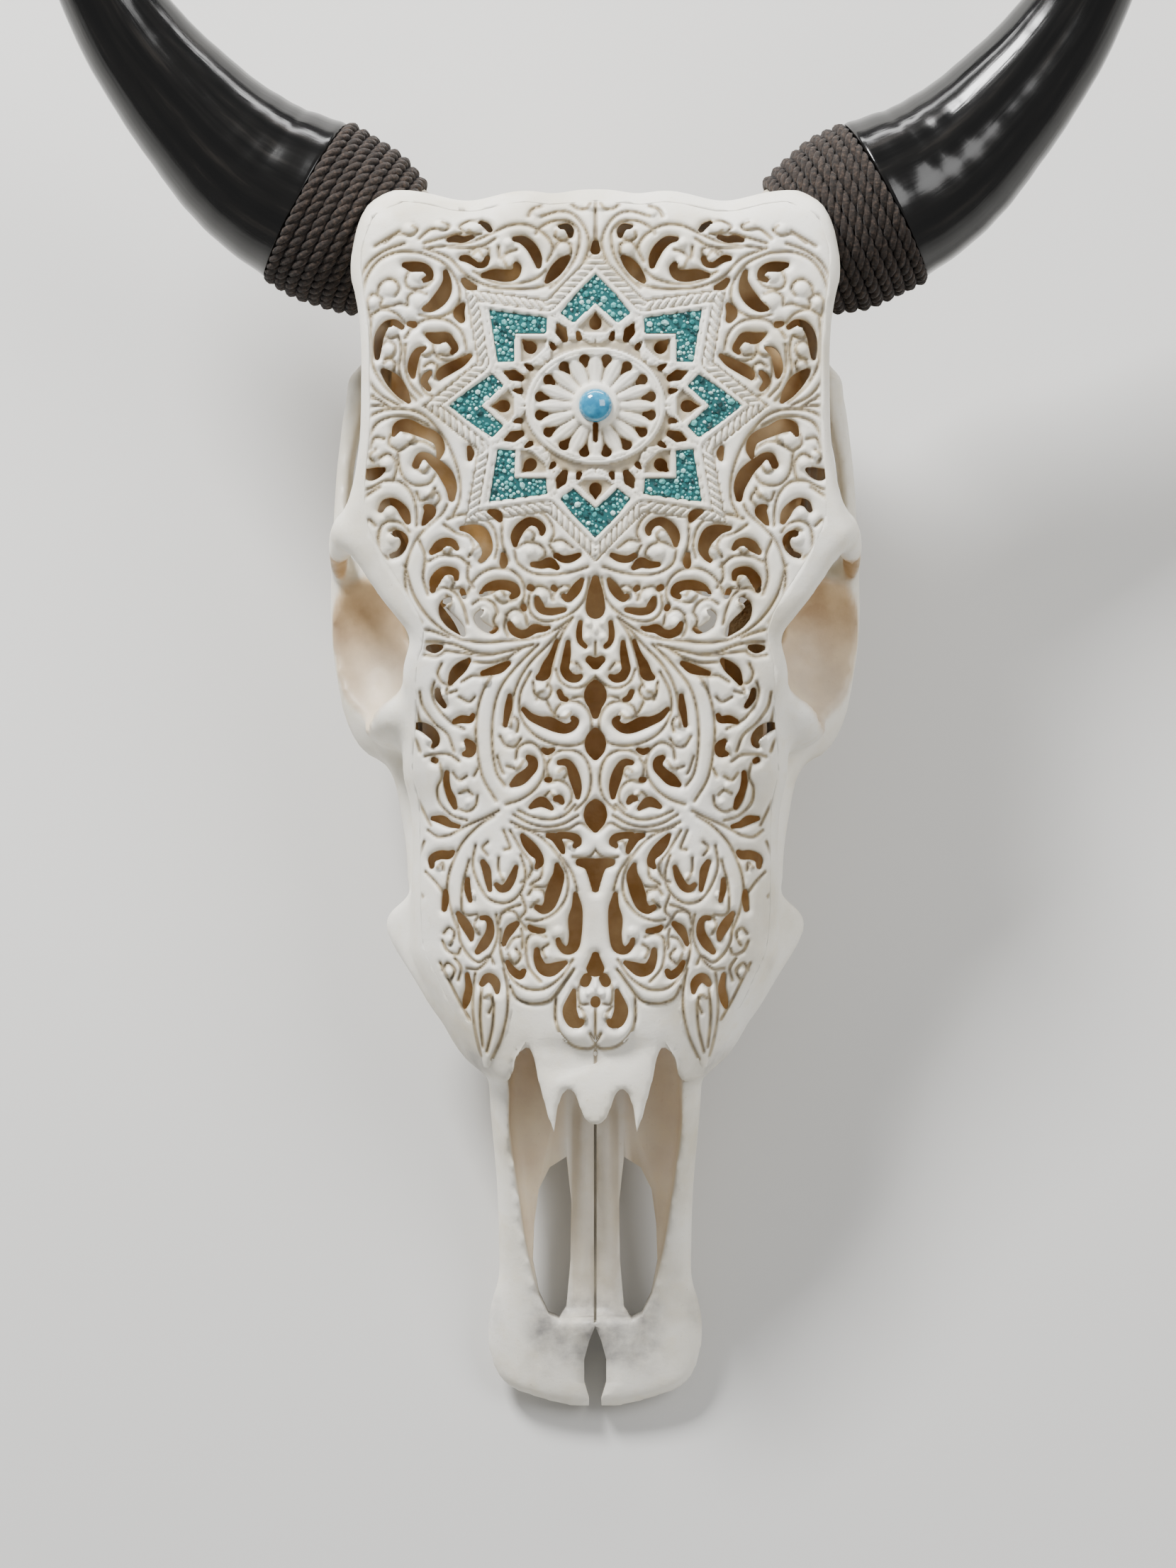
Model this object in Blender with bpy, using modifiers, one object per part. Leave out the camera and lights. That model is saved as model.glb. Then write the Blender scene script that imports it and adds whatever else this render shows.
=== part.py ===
"""A carved cow skull with its horns, rope wraps, teeth and turquoise inlay.

All shapes are drawn in the skull's face frame, in millimetres: X across the face, Y along the
face from the muzzle up to the poll, Z out of the forehead. One empty tilts that frame so that
the teeth and the two jugular processes stand on Z = 0.
"""

import math

import bmesh
import bpy
from mathutils import Matrix, Vector

MM = 0.001

# Driving dimensions
REST_TILT = math.radians(12.0)
FRONT_TOOTH_Y = -85.0
FRONT_TOOTH_Z = -118.0
CROWN_HEIGHT = 17.0
ROOT_DEPTH = 10.0
ROOF_WALL = 5.5
FIT_GAP = 0.4

# How finely the bone is fused before and after it is hollowed, and the share of faces kept
FUSE_VOXEL = 2.6
SKIN_VOXEL = 2.2
SKIN_SHARE = 0.0125

# The star medallion on the forehead
STAR_Y = 161.0
STAR_POINTS = 8
STAR_UPRIGHT = 63.0
STAR_LEVEL = 70.0
STAR_DIAGONAL = 68.5
STAR_NOTCH = 44.0
STAR_BAND = 7.0
STAR_RISE = 1.3
# A band of even width runs out of the sharp tips by this much more than its own width
TIP_DRAW = 1.55
NOTCH_DRAW = 1.05
RING_RADIUS = 26.0
RING_BAND = 4.0
RING_SIDES = 18
INLAY_DEPTH = 2.5
INLAY_FROM_TIP = 14.0
INLAY_FOOT = 40.0
INLAY_HALF = 13.5
INLAY_ARM = 13.0
BEAD_RADIUS = 6.8
BEAD_SIDES = 15
# Rings of the bead: height over its seat, how far they lie inside its radius
BEAD_RINGS = ((-1.6, 1.1), (0.5, 1.0), (0.6, 0.0), (2.6, 0.6), (4.2, 2.6), (5.0, 5.2))
COLLAR_RADIUS = 9.0

# Horns, their bone cores and the rope round them
HORN_RIM = Vector((-119.5, 249.5, -52.0))
HORN_AXIS = Vector((-0.873, 0.488, 0.0)).normalized()
CORE_RADIUS = 29.0
CORE_TIP_RADIUS = 22.0
CORE_REACH = 24.0
HORN_SIDES = 14
ROPE_RADIUS = 37.5
ROPE_ROWS = 6
# Rope stations: distance from the horn's rim, outer radius
ROPE_STATIONS = ((-41.0, 31.5), (-36.0, 33.0), (-26.0, 36.0), (-14.0, 37.5), (0.0, 37.5))

# Stations down the face: y, half width, depth of the rolled edge, squareness, crown height,
# underside height and half width of the underside
FACE_STATIONS = (
    (-113.0, 43.0, 30.0, 2.2, -9.0, -95.0, 41.0),
    (-106.0, 52.0, 42.0, 2.2, -7.0, -96.0, 45.0),
    (-97.0, 59.0, 46.0, 2.2, -6.0, -98.0, 51.0),
    (-85.0, 65.0, 46.0, 2.2, -4.5, -101.0, 55.0),
    (-72.0, 71.5, 46.0, 2.2, -3.5, -103.0, 58.0),
    (-58.0, 76.0, 46.0, 2.2, -3.0, -106.0, 61.0),
    (-40.0, 76.0, 44.0, 2.3, -2.0, -110.0, 63.0),
    (-20.0, 75.0, 42.0, 2.3, -1.5, -114.0, 65.0),
    (0.0, 76.0, 40.0, 2.4, -1.5, -118.0, 67.0),
    (15.0, 79.0, 34.0, 2.6, -1.2, -122.0, 68.0),
    (38.0, 77.5, 24.0, 3.0, -1.0, -127.0, 69.0),
    (50.0, 78.5, 18.0, 3.2, -0.5, -128.0, 67.0),
    (60.0, 77.5, 14.0, 3.5, -0.5, -104.0, 60.0),
    (68.0, 75.0, 11.0, 4.0, -0.5, -62.0, 58.0),
    (75.0, 80.0, 10.0, 4.5, -0.5, -36.0, 66.0),
    (83.0, 86.5, 10.0, 5.0, -0.5, -30.0, 72.0),
    (93.0, 93.5, 10.0, 5.0, -0.5, -28.0, 78.0),
    (104.0, 101.0, 10.0, 5.0, 0.0, -28.0, 86.0),
    (108.5, 105.5, 10.0, 5.0, 0.0, -28.0, 88.0),
    (115.0, 103.0, 10.0, 5.5, 0.0, -28.0, 88.0),
    (130.0, 98.5, 11.0, 6.0, 0.5, -29.0, 86.0),
    (150.0, 95.5, 11.0, 6.0, 1.0, -30.0, 84.0),
    (180.0, 95.0, 11.0, 6.0, 1.0, -30.0, 84.0),
    (205.0, 97.0, 12.0, 5.5, 0.0, -34.0, 86.0),
    (216.0, 99.5, 13.0, 5.0, -0.5, -40.0, 88.0),
    (230.0, 97.0, 13.0, 4.5, -1.5, -48.0, 87.0),
    (240.0, 92.0, 12.0, 4.5, -4.0, -46.0, 84.0),
    (246.0, 86.0, 9.0, 4.0, -8.0, -40.0, 80.0),
    (250.5, 76.0, 5.0, 3.5, -15.0, -30.0, 72.0),
)

# Muzzle stations: y, half width, crest height, underside height
MUZZLE_STATIONS = (
    (-250.5, 12.0, -72.0, -77.0),
    (-248.0, 21.0, -70.0, -78.5),
    (-243.0, 35.0, -68.0, -80.0),
    (-230.0, 43.5, -66.0, -81.0),
    (-220.0, 45.0, -64.0, -82.0),
    (-209.0, 44.0, -62.0, -83.0),
    (-194.0, 40.0, -58.0, -84.0),
    (-158.0, 40.8, -46.0, -88.0),
    (-125.0, 43.5, -32.0, -93.0),
    (-100.0, 44.5, -22.0, -96.0),
    (-90.0, 42.0, -18.0, -92.0),
)

# Braincase stations: y, half width, centre height, half height
BRAINCASE_STATIONS = (
    (58.0, 40.0, -62.0, 36.0),
    (85.0, 44.0, -62.0, 44.0),
    (110.0, 49.0, -66.0, 46.0),
    (140.0, 54.0, -70.0, 50.0),
    (170.0, 58.0, -74.0, 54.0),
    (200.0, 60.0, -76.0, 56.0),
    (225.0, 56.0, -78.0, 52.0),
    (238.0, 38.0, -80.0, 36.0),
)

# The nasal cavity and the forehead's sinus: y, half width, lid height, floor height
CAVITY_STATIONS = (
    (-130.0, 34.0, -30.0, -76.0),
    (-112.0, 37.0, -18.0, -78.0),
    (-97.0, 50.0, -13.0, -81.0),
    (-72.0, 64.0, -9.0, -86.0),
    (-40.0, 69.0, -8.0, -90.0),
    (0.0, 69.0, -7.0, -94.0),
    (38.0, 67.0, -7.0, -100.0),
    (56.0, 60.0, -6.5, -88.0),
    (72.0, 60.0, -6.0, -46.0),
    (92.0, 72.0, -6.0, -24.0),
    (130.0, 86.0, -5.5, -21.0),
    (180.0, 84.0, -5.0, -21.0),
    (225.0, 84.0, -7.0, -22.0),
    (233.0, 74.0, -10.0, -20.0),
)

# Teeth from the front: length along the row, width, distance of the crown from the midline
TEETH = (
    (15.0, 14.0, 49.0),
    (17.0, 17.0, 51.0),
    (18.0, 19.0, 53.0),
    (24.0, 22.0, 55.0),
    (27.0, 23.0, 57.0),
    (30.0, 22.0, 58.0),
)

# The trough between the premaxillae, its left edge from the front of the nasals to the muzzle
TROUGH_EDGE = (
    (-27.0, -95.0), (-31.5, -102.0), (-35.0, -114.0), (-35.5, -130.0), (-33.0, -150.0),
    (-31.0, -165.0), (-29.0, -180.0), (-26.5, -192.0), (-23.5, -203.0), (-17.0, -212.5),
)
NASAL_TIP = (
    (0.0, -82.0), (-27.5, -82.0), (-26.0, -98.0), (-23.0, -112.0), (-19.5, -125.0),
    (-17.0, -133.5), (-15.0, -122.0), (-12.0, -111.0), (-8.5, -116.0), (-4.5, -127.0), (0.0, -130.0),
)
PALATE_SLOT = (
    (-12.0, -146.5), (-19.0, -151.0), (-23.5, -160.0), (-25.5, -175.0), (-26.0, -190.0),
    (-23.5, -203.0), (-19.5, -211.5), (-15.0, -213.5), (-12.0, -209.0), (-10.3, -190.0), (-10.0, -165.0),
)
TIP_GAP = (
    (0.0, -214.0), (-2.5, -222.0), (-4.6, -230.0), (-4.6, -240.0), (-2.5, -247.0), (-3.0, -256.0),
    (3.0, -256.0), (2.5, -247.0), (4.6, -240.0), (4.6, -230.0), (2.5, -222.0),
)

# Pierced openings of the left half: x, y, length, width, heading in degrees
PIERCED = (
    (-62.0, 207.0, 18.0, 7.5, 68.0), (-77.0, 217.0, 15.0, 5.0, 12.0), (-26.5, 222.5, 14.0, 6.0, -58.0),
    (-41.0, 213.5, 16.0, 5.0, -4.0), (-65.5, 191.0, 14.0, 6.0, 0.0), (-88.0, 189.0, 17.0, 5.0, 80.0),
    (-80.5, 170.5, 17.0, 6.0, -50.0), (-72.5, 153.5, 16.0, 6.0, 18.0), (-62.0, 132.0, 21.0, 6.0, -62.0),
    (-31.0, 111.5, 13.0, 6.5, -62.0), (-46.0, 109.0, 12.0, 6.0, 66.0), (-63.5, 93.0, 16.0, 6.5, 76.0),
    (-56.5, 74.5, 17.0, 5.5, 42.0), (-40.0, 88.5, 15.0, 6.0, -18.0), (-27.0, 72.5, 16.0, 5.0, -14.0),
    (-22.5, 57.0, 22.0, 5.5, -62.0), (-14.0, 36.0, 13.0, 5.5, 8.0), (-10.5, 14.0, 16.0, 5.5, 66.0),
    (-34.0, -49.0, 13.0, 5.5, 50.0), (-19.5, -65.0, 13.0, 5.5, 60.0),
)
# Openings on the midline: y, half width, half height
MIDLINE_PIERCED = (
    (86.0, 4.5, 8.0), (44.5, 5.5, 6.0), (24.0, 5.0, 5.0),
    (-4.0, 5.0, 5.0), (-26.0, 4.0, 4.5), (-65.5, 3.5, 3.5),
)


def clear_scene():
    """Remove every object that the file opened with."""
    for old in list(bpy.data.objects):
        bpy.data.objects.remove(old, do_unlink=True)


def make_collection(name):
    """A collection linked to the scene."""
    collection = bpy.data.collections.new(name)
    bpy.context.scene.collection.children.link(collection)
    return collection


def rest_height(y):
    """Height, in the face frame, of the surface that the skull stands on."""
    return FRONT_TOOTH_Z - math.tan(REST_TILT) * (y - FRONT_TOOTH_Y)


def smooth_step(stations, place):
    """Values at a place along a table of stations, eased so that no kink or overshoot shows."""
    first, last = stations[0], stations[-1]
    if place <= first[0]:
        return first[1:]
    if place >= last[0]:
        return last[1:]
    for index in range(len(stations) - 1):
        low, high = stations[index], stations[index + 1]
        if low[0] <= place <= high[0]:
            break
    before = stations[max(index - 1, 0)]
    after = stations[min(index + 2, len(stations) - 1)]
    span = high[0] - low[0]
    t = (place - low[0]) / span
    values = []
    for column in range(1, len(low)):
        rise = (high[column] - low[column]) / span
        rise_before = (low[column] - before[column]) / max(low[0] - before[0], 1e-6)
        rise_after = (after[column] - high[column]) / max(after[0] - high[0], 1e-6)
        slope_low = 0.5 * (rise + rise_before) if rise * rise_before > 0.0 else 0.0
        slope_high = 0.5 * (rise + rise_after) if rise * rise_after > 0.0 else 0.0
        slope_low = max(min(slope_low, 3.0 * abs(rise)), -3.0 * abs(rise))
        slope_high = max(min(slope_high, 3.0 * abs(rise)), -3.0 * abs(rise))
        values.append(
            (2 * t ** 3 - 3 * t ** 2 + 1) * low[column]
            + (t ** 3 - 2 * t ** 2 + t) * span * slope_low
            + (3 * t ** 2 - 2 * t ** 3) * high[column]
            + (t ** 3 - t ** 2) * span * slope_high
        )
    return values


def face_height(x, y):
    """Height of the face's upper surface, muzzle left out."""
    half_width, roll, square, crown = smooth_step(FACE_STATIONS, y)[:4]
    share = min(abs(x) / half_width, 1.0)
    return crown - roll * (1.0 - (1.0 - share ** square) ** (1.0 / square))


def signed_power(value, power):
    """A power that keeps its base's sign, for superellipse rings."""
    return math.copysign(abs(value) ** power, value)


def face_ring(y, sides=56):
    """One cross-section of the face, rolled at its upper edges and drawn in below."""
    half_width, roll, square, crown, underside, under_width = smooth_step(FACE_STATIONS, y)
    waist = crown - roll
    ring = []
    for step in range(sides):
        angle = 2.0 * math.pi * step / sides
        cosine, sine = math.cos(angle), math.sin(angle)
        if sine >= 0.0:
            x = half_width * signed_power(cosine, 2.0 / square)
            z = waist + roll * signed_power(sine, 2.0 / square)
        else:
            drop = abs(sine) ** 0.5
            width = half_width + (under_width - half_width) * drop
            x = width * signed_power(cosine, 0.45)
            z = waist + (underside - waist) * drop
        ring.append((x, y, z))
    return ring


def oval_ring(y, half_width, top, bottom, square=2.6, sides=40):
    """An upright superellipse across the face."""
    ring = []
    for step in range(sides):
        angle = 2.0 * math.pi * step / sides
        x = half_width * signed_power(math.cos(angle), 2.0 / square)
        z = 0.5 * (top + bottom) + 0.5 * (top - bottom) * signed_power(math.sin(angle), 2.0 / square)
        ring.append((x, y, z))
    return ring


def finish_mesh(bm, name, collection, material=None):
    """Turn a bmesh drawn in millimetres into an object in metres, its faces pointing out."""
    bmesh.ops.scale(bm, vec=(MM, MM, MM), verts=bm.verts)
    bmesh.ops.recalc_face_normals(bm, faces=bm.faces)
    mesh = bpy.data.meshes.new(name)
    bm.to_mesh(mesh)
    bm.free()
    piece = bpy.data.objects.new(name, mesh)
    collection.objects.link(piece)
    if material is not None:
        mesh.materials.append(material)
    return piece


def add_loft(bm, rings):
    """Skin a row of rings that have the same number of points, and close both ends."""
    count = len(rings[0])
    rows = [[bm.verts.new(point) for point in ring] for ring in rings]
    for near, far in zip(rows, rows[1:]):
        for step in range(count):
            after = (step + 1) % count
            bm.faces.new((near[step], near[after], far[after], far[step]))
    bm.faces.new(rows[0])
    bm.faces.new(rows[-1])


def add_sweep(bm, path, sides=20):
    """A tube along path points (x, y, z, half width, half height), width measured level."""
    centres = [Vector(point[:3]) for point in path]
    rings = []
    for index, centre in enumerate(centres):
        ahead = centres[min(index + 1, len(centres) - 1)]
        behind = centres[max(index - 1, 0)]
        along = (ahead - behind).normalized()
        reference = Vector((0.0, 0.0, 1.0))
        if abs(along.z) > 0.8:
            reference = Vector((0.0, 1.0, 0.0))
        side = along.cross(reference).normalized()
        up = side.cross(along).normalized()
        width, height = path[index][3:]
        ring = []
        for step in range(sides):
            angle = 2.0 * math.pi * step / sides
            ring.append(centre + side * width * math.cos(angle) + up * height * math.sin(angle))
        rings.append(ring)
    add_loft(bm, rings)


def add_ellipsoid(bm, centre, radii, turn=0.0):
    """An ellipsoid, turned about the face's own Z axis."""
    matrix = Matrix.Translation(centre) @ Matrix.Rotation(turn, 4, "Z") @ Matrix.Diagonal((*radii, 1.0))
    bmesh.ops.create_uvsphere(bm, u_segments=24, v_segments=16, radius=1.0, matrix=matrix)


def add_prism(bm, outline, low, high):
    """A flat outline raised into a solid; low and high are heights or functions of x and y."""
    verts = [bm.verts.new((x, y, 0.0)) for x, y in outline]
    face = bm.faces.new(verts)
    raised = bmesh.ops.extrude_face_region(bm, geom=[face])["geom"]
    tops = [item for item in raised if isinstance(item, bmesh.types.BMVert)]
    for group, level in ((verts, low), (tops, high)):
        for vert in group:
            vert.co.z = level(vert.co.x, vert.co.y) if callable(level) else level


def both_sides(points):
    """A left outline and its mirror image."""
    return points, tuple((-point[0], *point[1:]) for point in reversed(points))


def mirror_path(path):
    """The same path on the other side of the face."""
    return tuple((-point[0], *point[1:]) for point in path)


def resampled(path, count):
    """Points spread along a path of stations by a smooth curve through them."""
    numbered = tuple((float(index), *point) for index, point in enumerate(path))
    last = len(path) - 1
    return [tuple(smooth_step(numbered, last * step / (count - 1))) for step in range(count)]


def bone_solids(collection):
    """The skull's solid masses, before it is hollowed."""
    bm = bmesh.new()
    face_steps = 96
    front, back = FACE_STATIONS[0][0], FACE_STATIONS[-1][0]
    add_loft(bm, [face_ring(front + (back - front) * step / face_steps) for step in range(face_steps + 1)])

    muzzle_rings = []
    muzzle_steps = 48
    for step in range(muzzle_steps + 1):
        y = MUZZLE_STATIONS[0][0] + (MUZZLE_STATIONS[-1][0] - MUZZLE_STATIONS[0][0]) * step / muzzle_steps
        half_width, crest, underside = smooth_step(MUZZLE_STATIONS, y)
        muzzle_rings.append(oval_ring(y, half_width, crest, underside, square=3.0))
    add_loft(bm, muzzle_rings)

    braincase_rings = []
    braincase_steps = 20
    for step in range(braincase_steps + 1):
        share = step / braincase_steps
        y = BRAINCASE_STATIONS[0][0] + (BRAINCASE_STATIONS[-1][0] - BRAINCASE_STATIONS[0][0]) * share
        half_width, centre, half_height = smooth_step(BRAINCASE_STATIONS, y)
        top, bottom = centre + half_height, centre - half_height
        braincase_rings.append(oval_ring(y, half_width, top, bottom, square=2.2))
    add_loft(bm, braincase_rings)

    # Nuchal plate below the poll, and the skull base in front of the condyles
    add_ellipsoid(bm, (0.0, 229.0, -58.0), (92.0, 17.0, 50.0))
    add_ellipsoid(bm, (0.0, 165.0, -134.0), (22.0, 66.0, 16.0))

    for side in (-1.0, 1.0):
        add_side_solids(bm, side)
    return finish_mesh(bm, "skull", collection)


def add_side_solids(bm, side):
    """Cheek arch, orbit, horn core, condyle and processes of one side."""

    def sweep(path, count):
        placed = path if side < 0.0 else mirror_path(path)
        add_sweep(bm, resampled(placed, count))

    # The cheek arch: facial tuber, outer rim of the orbit, root on the braincase
    sweep((
        (-68.0, -32.0, -66.0, 10.0, 13.0), (-73.0, -8.0, -70.0, 7.0, 13.0), (-78.5, 16.0, -76.0, 7.0, 13.0),
        (-93.0, 34.0, -80.0, 6.5, 13.0), (-103.5, 56.0, -83.0, 5.0, 13.0), (-106.8, 88.0, -85.0, 4.0, 12.0),
        (-105.8, 124.0, -88.0, 3.6, 11.0), (-103.8, 148.0, -91.0, 3.8, 10.0), (-98.0, 172.0, -92.0, 6.0, 10.0),
        (-84.0, 188.0, -92.0, 10.0, 11.0), (-62.0, 196.0, -92.0, 14.0, 14.0), (-44.0, 198.0, -92.0, 14.0, 14.0),
    ), 44)
    add_ellipsoid(bm, (side * 97.5, 175.0, -90.0), (7.0, 8.0, 11.0))
    # Facial tuber
    add_ellipsoid(bm, (side * 74.0, -50.0, -66.0), (11.5, 15.0, 14.0))
    # The bar behind the orbit
    sweep((
        (-99.0, 112.0, -10.0, 8.0, 8.0), (-104.0, 107.5, -30.0, 5.0, 9.0), (-106.0, 104.0, -55.0, 4.0, 9.0),
        (-106.8, 102.0, -84.0, 4.0, 12.0),
    ), 12)
    # The floor of the orbit, which the socket is cut into
    add_ellipsoid(bm, (side * 89.0, 62.0, -80.0), (19.5, 44.0, 15.0))
    add_ellipsoid(bm, (side * 80.0, 38.0, -54.0), (17.0, 15.0, 36.0), turn=-0.35 * side)
    # Horn core, and the swelling that it grows from
    rim = Vector((HORN_RIM.x * -side, HORN_RIM.y, HORN_RIM.z))
    axis = Vector((HORN_AXIS.x * -side, HORN_AXIS.y, HORN_AXIS.z))
    core = []
    steps = ((-62.0, CORE_RADIUS), (-3.0, CORE_RADIUS), (0.0, CORE_TIP_RADIUS), (CORE_REACH, CORE_TIP_RADIUS - 3.0))
    for along, radius in steps:
        core.append((*(rim + axis * along), radius, radius))
    add_sweep(bm, core, sides=28)
    add_ellipsoid(bm, (side * 74.0, 222.0, -52.0), (30.0, 26.0, 36.0))
    # Condyle, jugular process, ear bulla and pterygoid plate
    add_ellipsoid(bm, (side * 26.0, 226.0, -128.0), (17.0, 16.0, 24.0), turn=0.3 * side)
    sweep((
        (-50.0, 212.0, -104.0, 17.0, 11.0), (-50.0, 207.0, -130.0, 12.0, 8.0), (-47.0, 200.0, -155.0, 7.5, 6.0),
        (-45.0, 195.0, -184.0, 6.0, 5.5),
    ), 14)
    add_ellipsoid(bm, (side * 37.0, 166.0, -136.0), (13.0, 19.0, 17.0))
    sweep((
        (-21.0, 50.0, -118.0, 3.5, 16.0), (-21.0, 76.0, -118.0, 3.2, 24.0), (-21.0, 104.0, -116.0, 3.2, 26.0),
        (-19.0, 128.0, -116.0, 4.0, 16.0),
    ), 16)


def nasal_tips(cutters):
    """The forked front ends of the nasal bones, fused to the face after it is hollowed."""
    bm = bmesh.new()
    left, right = both_sides(NASAL_TIP)
    outline = left[1:] + right[1:-1]
    add_prism(bm, outline, lambda x, y: face_height(x, max(y, -97.0)) - 6.5 + 0.02 * (y + 82.0),
              lambda x, y: face_height(x, max(y, -97.0)) + 0.04 * (y + 82.0))
    return finish_mesh(bm, "nasal_tips", cutters)


def cavity_cutter(cutters):
    """The nasal cavity, the sinus behind the forehead and the trough of the muzzle."""
    bm = bmesh.new()
    rings = []
    steps = 60
    start, stop = CAVITY_STATIONS[0][0], CAVITY_STATIONS[-1][0]
    for step in range(steps + 1):
        y = start + (stop - start) * step / steps
        half_width, lid, floor = smooth_step(CAVITY_STATIONS, y)
        ring = []
        for x, _, z in oval_ring(y, half_width, lid, floor, square=3.4):
            lid_here = face_height(x, y) - ROOF_WALL
            ring.append((x, y, min(z, lid_here) if y > -97.0 else z))
        rings.append(ring)
    add_loft(bm, rings)
    return finish_mesh(bm, "cavity", cutters)


def trough_cutter(cutters):
    """The open trough of the muzzle and the front of the nasal cavity."""
    bm = bmesh.new()
    left, right = both_sides(TROUGH_EDGE)
    add_prism(bm, left + right, -76.0, 20.0)
    return finish_mesh(bm, "trough", cutters)


def orbit_cutter(cutters):
    """The eye sockets."""
    bm = bmesh.new()
    for side in (-1.0, 1.0):
        add_ellipsoid(bm, (side * 95.5, 68.0, -46.0), (30.0, 36.0, 34.0))
    return finish_mesh(bm, "orbits", cutters)


def passage_cutter(cutters):
    """The gaps beside the orbits' floors, the choana and the foramen magnum."""
    bm = bmesh.new()
    for side in (-1.0, 1.0):
        add_ellipsoid(bm, (side * 71.0, 78.0, -82.0), (8.0, 17.0, 62.0))
    add_ellipsoid(bm, (0.0, 66.0, -104.0), (15.0, 34.0, 12.0))
    add_ellipsoid(bm, (0.0, 236.0, -116.0), (17.0, 46.0, 15.0))
    return finish_mesh(bm, "passages", cutters)


def palate_cutter(cutters):
    """The hollow between the tooth rows."""
    bm = bmesh.new()
    path = []
    for y in (-128.0, -112.0, -90.0, -50.0, 0.0, 40.0, 66.0):
        half_width = 24.0 if y < -120.0 else 35.0 + 0.03 * (y + 90.0)
        path.append((0.0, y, rest_height(y) + 2.0, half_width, 23.0))
    add_sweep(bm, resampled(path, 24), sides=28)
    return finish_mesh(bm, "palate_vault", cutters)


def rope_radius(along):
    """Outer radius of the rope's rows, at a distance along the horn's axis from its rim."""
    return smooth_step(ROPE_STATIONS, along)[0]


def collar_clearance(cutters):
    """The space that the rope and the horn's foot take beside the skull."""
    bm = bmesh.new()
    for side in (-1.0, 1.0):
        rim = Vector((HORN_RIM.x * -side, HORN_RIM.y, HORN_RIM.z))
        axis = Vector((HORN_AXIS.x * -side, HORN_AXIS.y, HORN_AXIS.z))
        profile = [(ROPE_STATIONS[0][0] - 1.0, CORE_RADIUS - 0.5)]
        for along, radius in ROPE_STATIONS[::2]:
            profile.append((along, radius + 1.2))
        profile += [
            (60.0, ROPE_RADIUS + 1.2), (60.0, CORE_TIP_RADIUS - 0.5),
            (-1.0, CORE_TIP_RADIUS - 0.5), (-1.5, CORE_RADIUS - 0.5),
        ]
        add_turned_ring(bm, rim, axis, profile, 20)
    return finish_mesh(bm, "collar_clearance", cutters)


def add_turned_ring(bm, foot, axis, profile, steps):
    """A closed ring turned about an axis from profile points (distance along, radius)."""
    side = axis.cross(Vector((0.0, 0.0, 1.0))).normalized()
    verts = [bm.verts.new(foot + axis * along + side * radius) for along, radius in profile]
    edges = [bm.edges.new((verts[index - 1], verts[index])) for index in range(len(verts))]
    bmesh.ops.spin(bm, geom=verts + edges, cent=foot, axis=axis, dvec=(0.0, 0.0, 0.0),
                   angle=2.0 * math.pi, steps=steps, use_merge=True)


def leaf_outline(x, y, length, width, heading):
    """A pointed opening, fuller towards its first end."""
    along = Vector((math.cos(math.radians(heading)), math.sin(math.radians(heading))))
    across = Vector((-along.y, along.x))
    shape = ((-0.5, 0.0), (-0.2, 0.5), (0.2, 0.42), (0.5, 0.0), (0.2, -0.42), (-0.2, -0.5))
    middle = Vector((x, y))
    return [tuple(middle + along * length * u + across * width * v) for u, v in shape]


def mirrored_outline(outline):
    """The outline on the other side of the midline, wound the same way."""
    return [(-x, y) for x, y in reversed(outline)]


def star_tip(index):
    """The tip of one point of the star."""
    angle = math.radians(90.0) + index * 2.0 * math.pi / STAR_POINTS
    reach = STAR_DIAGONAL
    if index % 4 == 0:
        reach = STAR_UPRIGHT
    elif index % 4 == 2:
        reach = STAR_LEVEL
    return Vector((math.cos(angle), math.sin(angle))) * reach


def star_outline(inset):
    """The star's outline about its own centre, drawn in by an inset."""
    outline = []
    for index in range(STAR_POINTS):
        tip = star_tip(index)
        angle = math.radians(90.0) + (index + 0.5) * 2.0 * math.pi / STAR_POINTS
        notch = Vector((math.cos(angle), math.sin(angle))) * STAR_NOTCH
        outline.append(tip * (1.0 - TIP_DRAW * inset / tip.length))
        outline.append(notch * (1.0 - NOTCH_DRAW * inset / STAR_NOTCH))
    return outline


def raised(height):
    """A height above the face's surface, as a function of x and y."""
    return lambda x, y: face_height(x, y) + height


def add_frame_band(bm, outer, inner):
    """A raised band between two outlines of equal length about the star's centre."""
    rows = []
    for outline, height in ((outer, -2.0), (outer, STAR_RISE), (inner, STAR_RISE), (inner, -2.0)):
        row = []
        for point in outline:
            x, y = point.x, point.y + STAR_Y
            row.append(bm.verts.new((x, y, face_height(x, y) + height)))
        rows.append(row)
    count = len(outer)
    for near, far in zip(rows, rows[1:] + rows[:1]):
        for step in range(count):
            after = (step + 1) % count
            bm.faces.new((near[step], near[after], far[after], far[step]))


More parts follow.
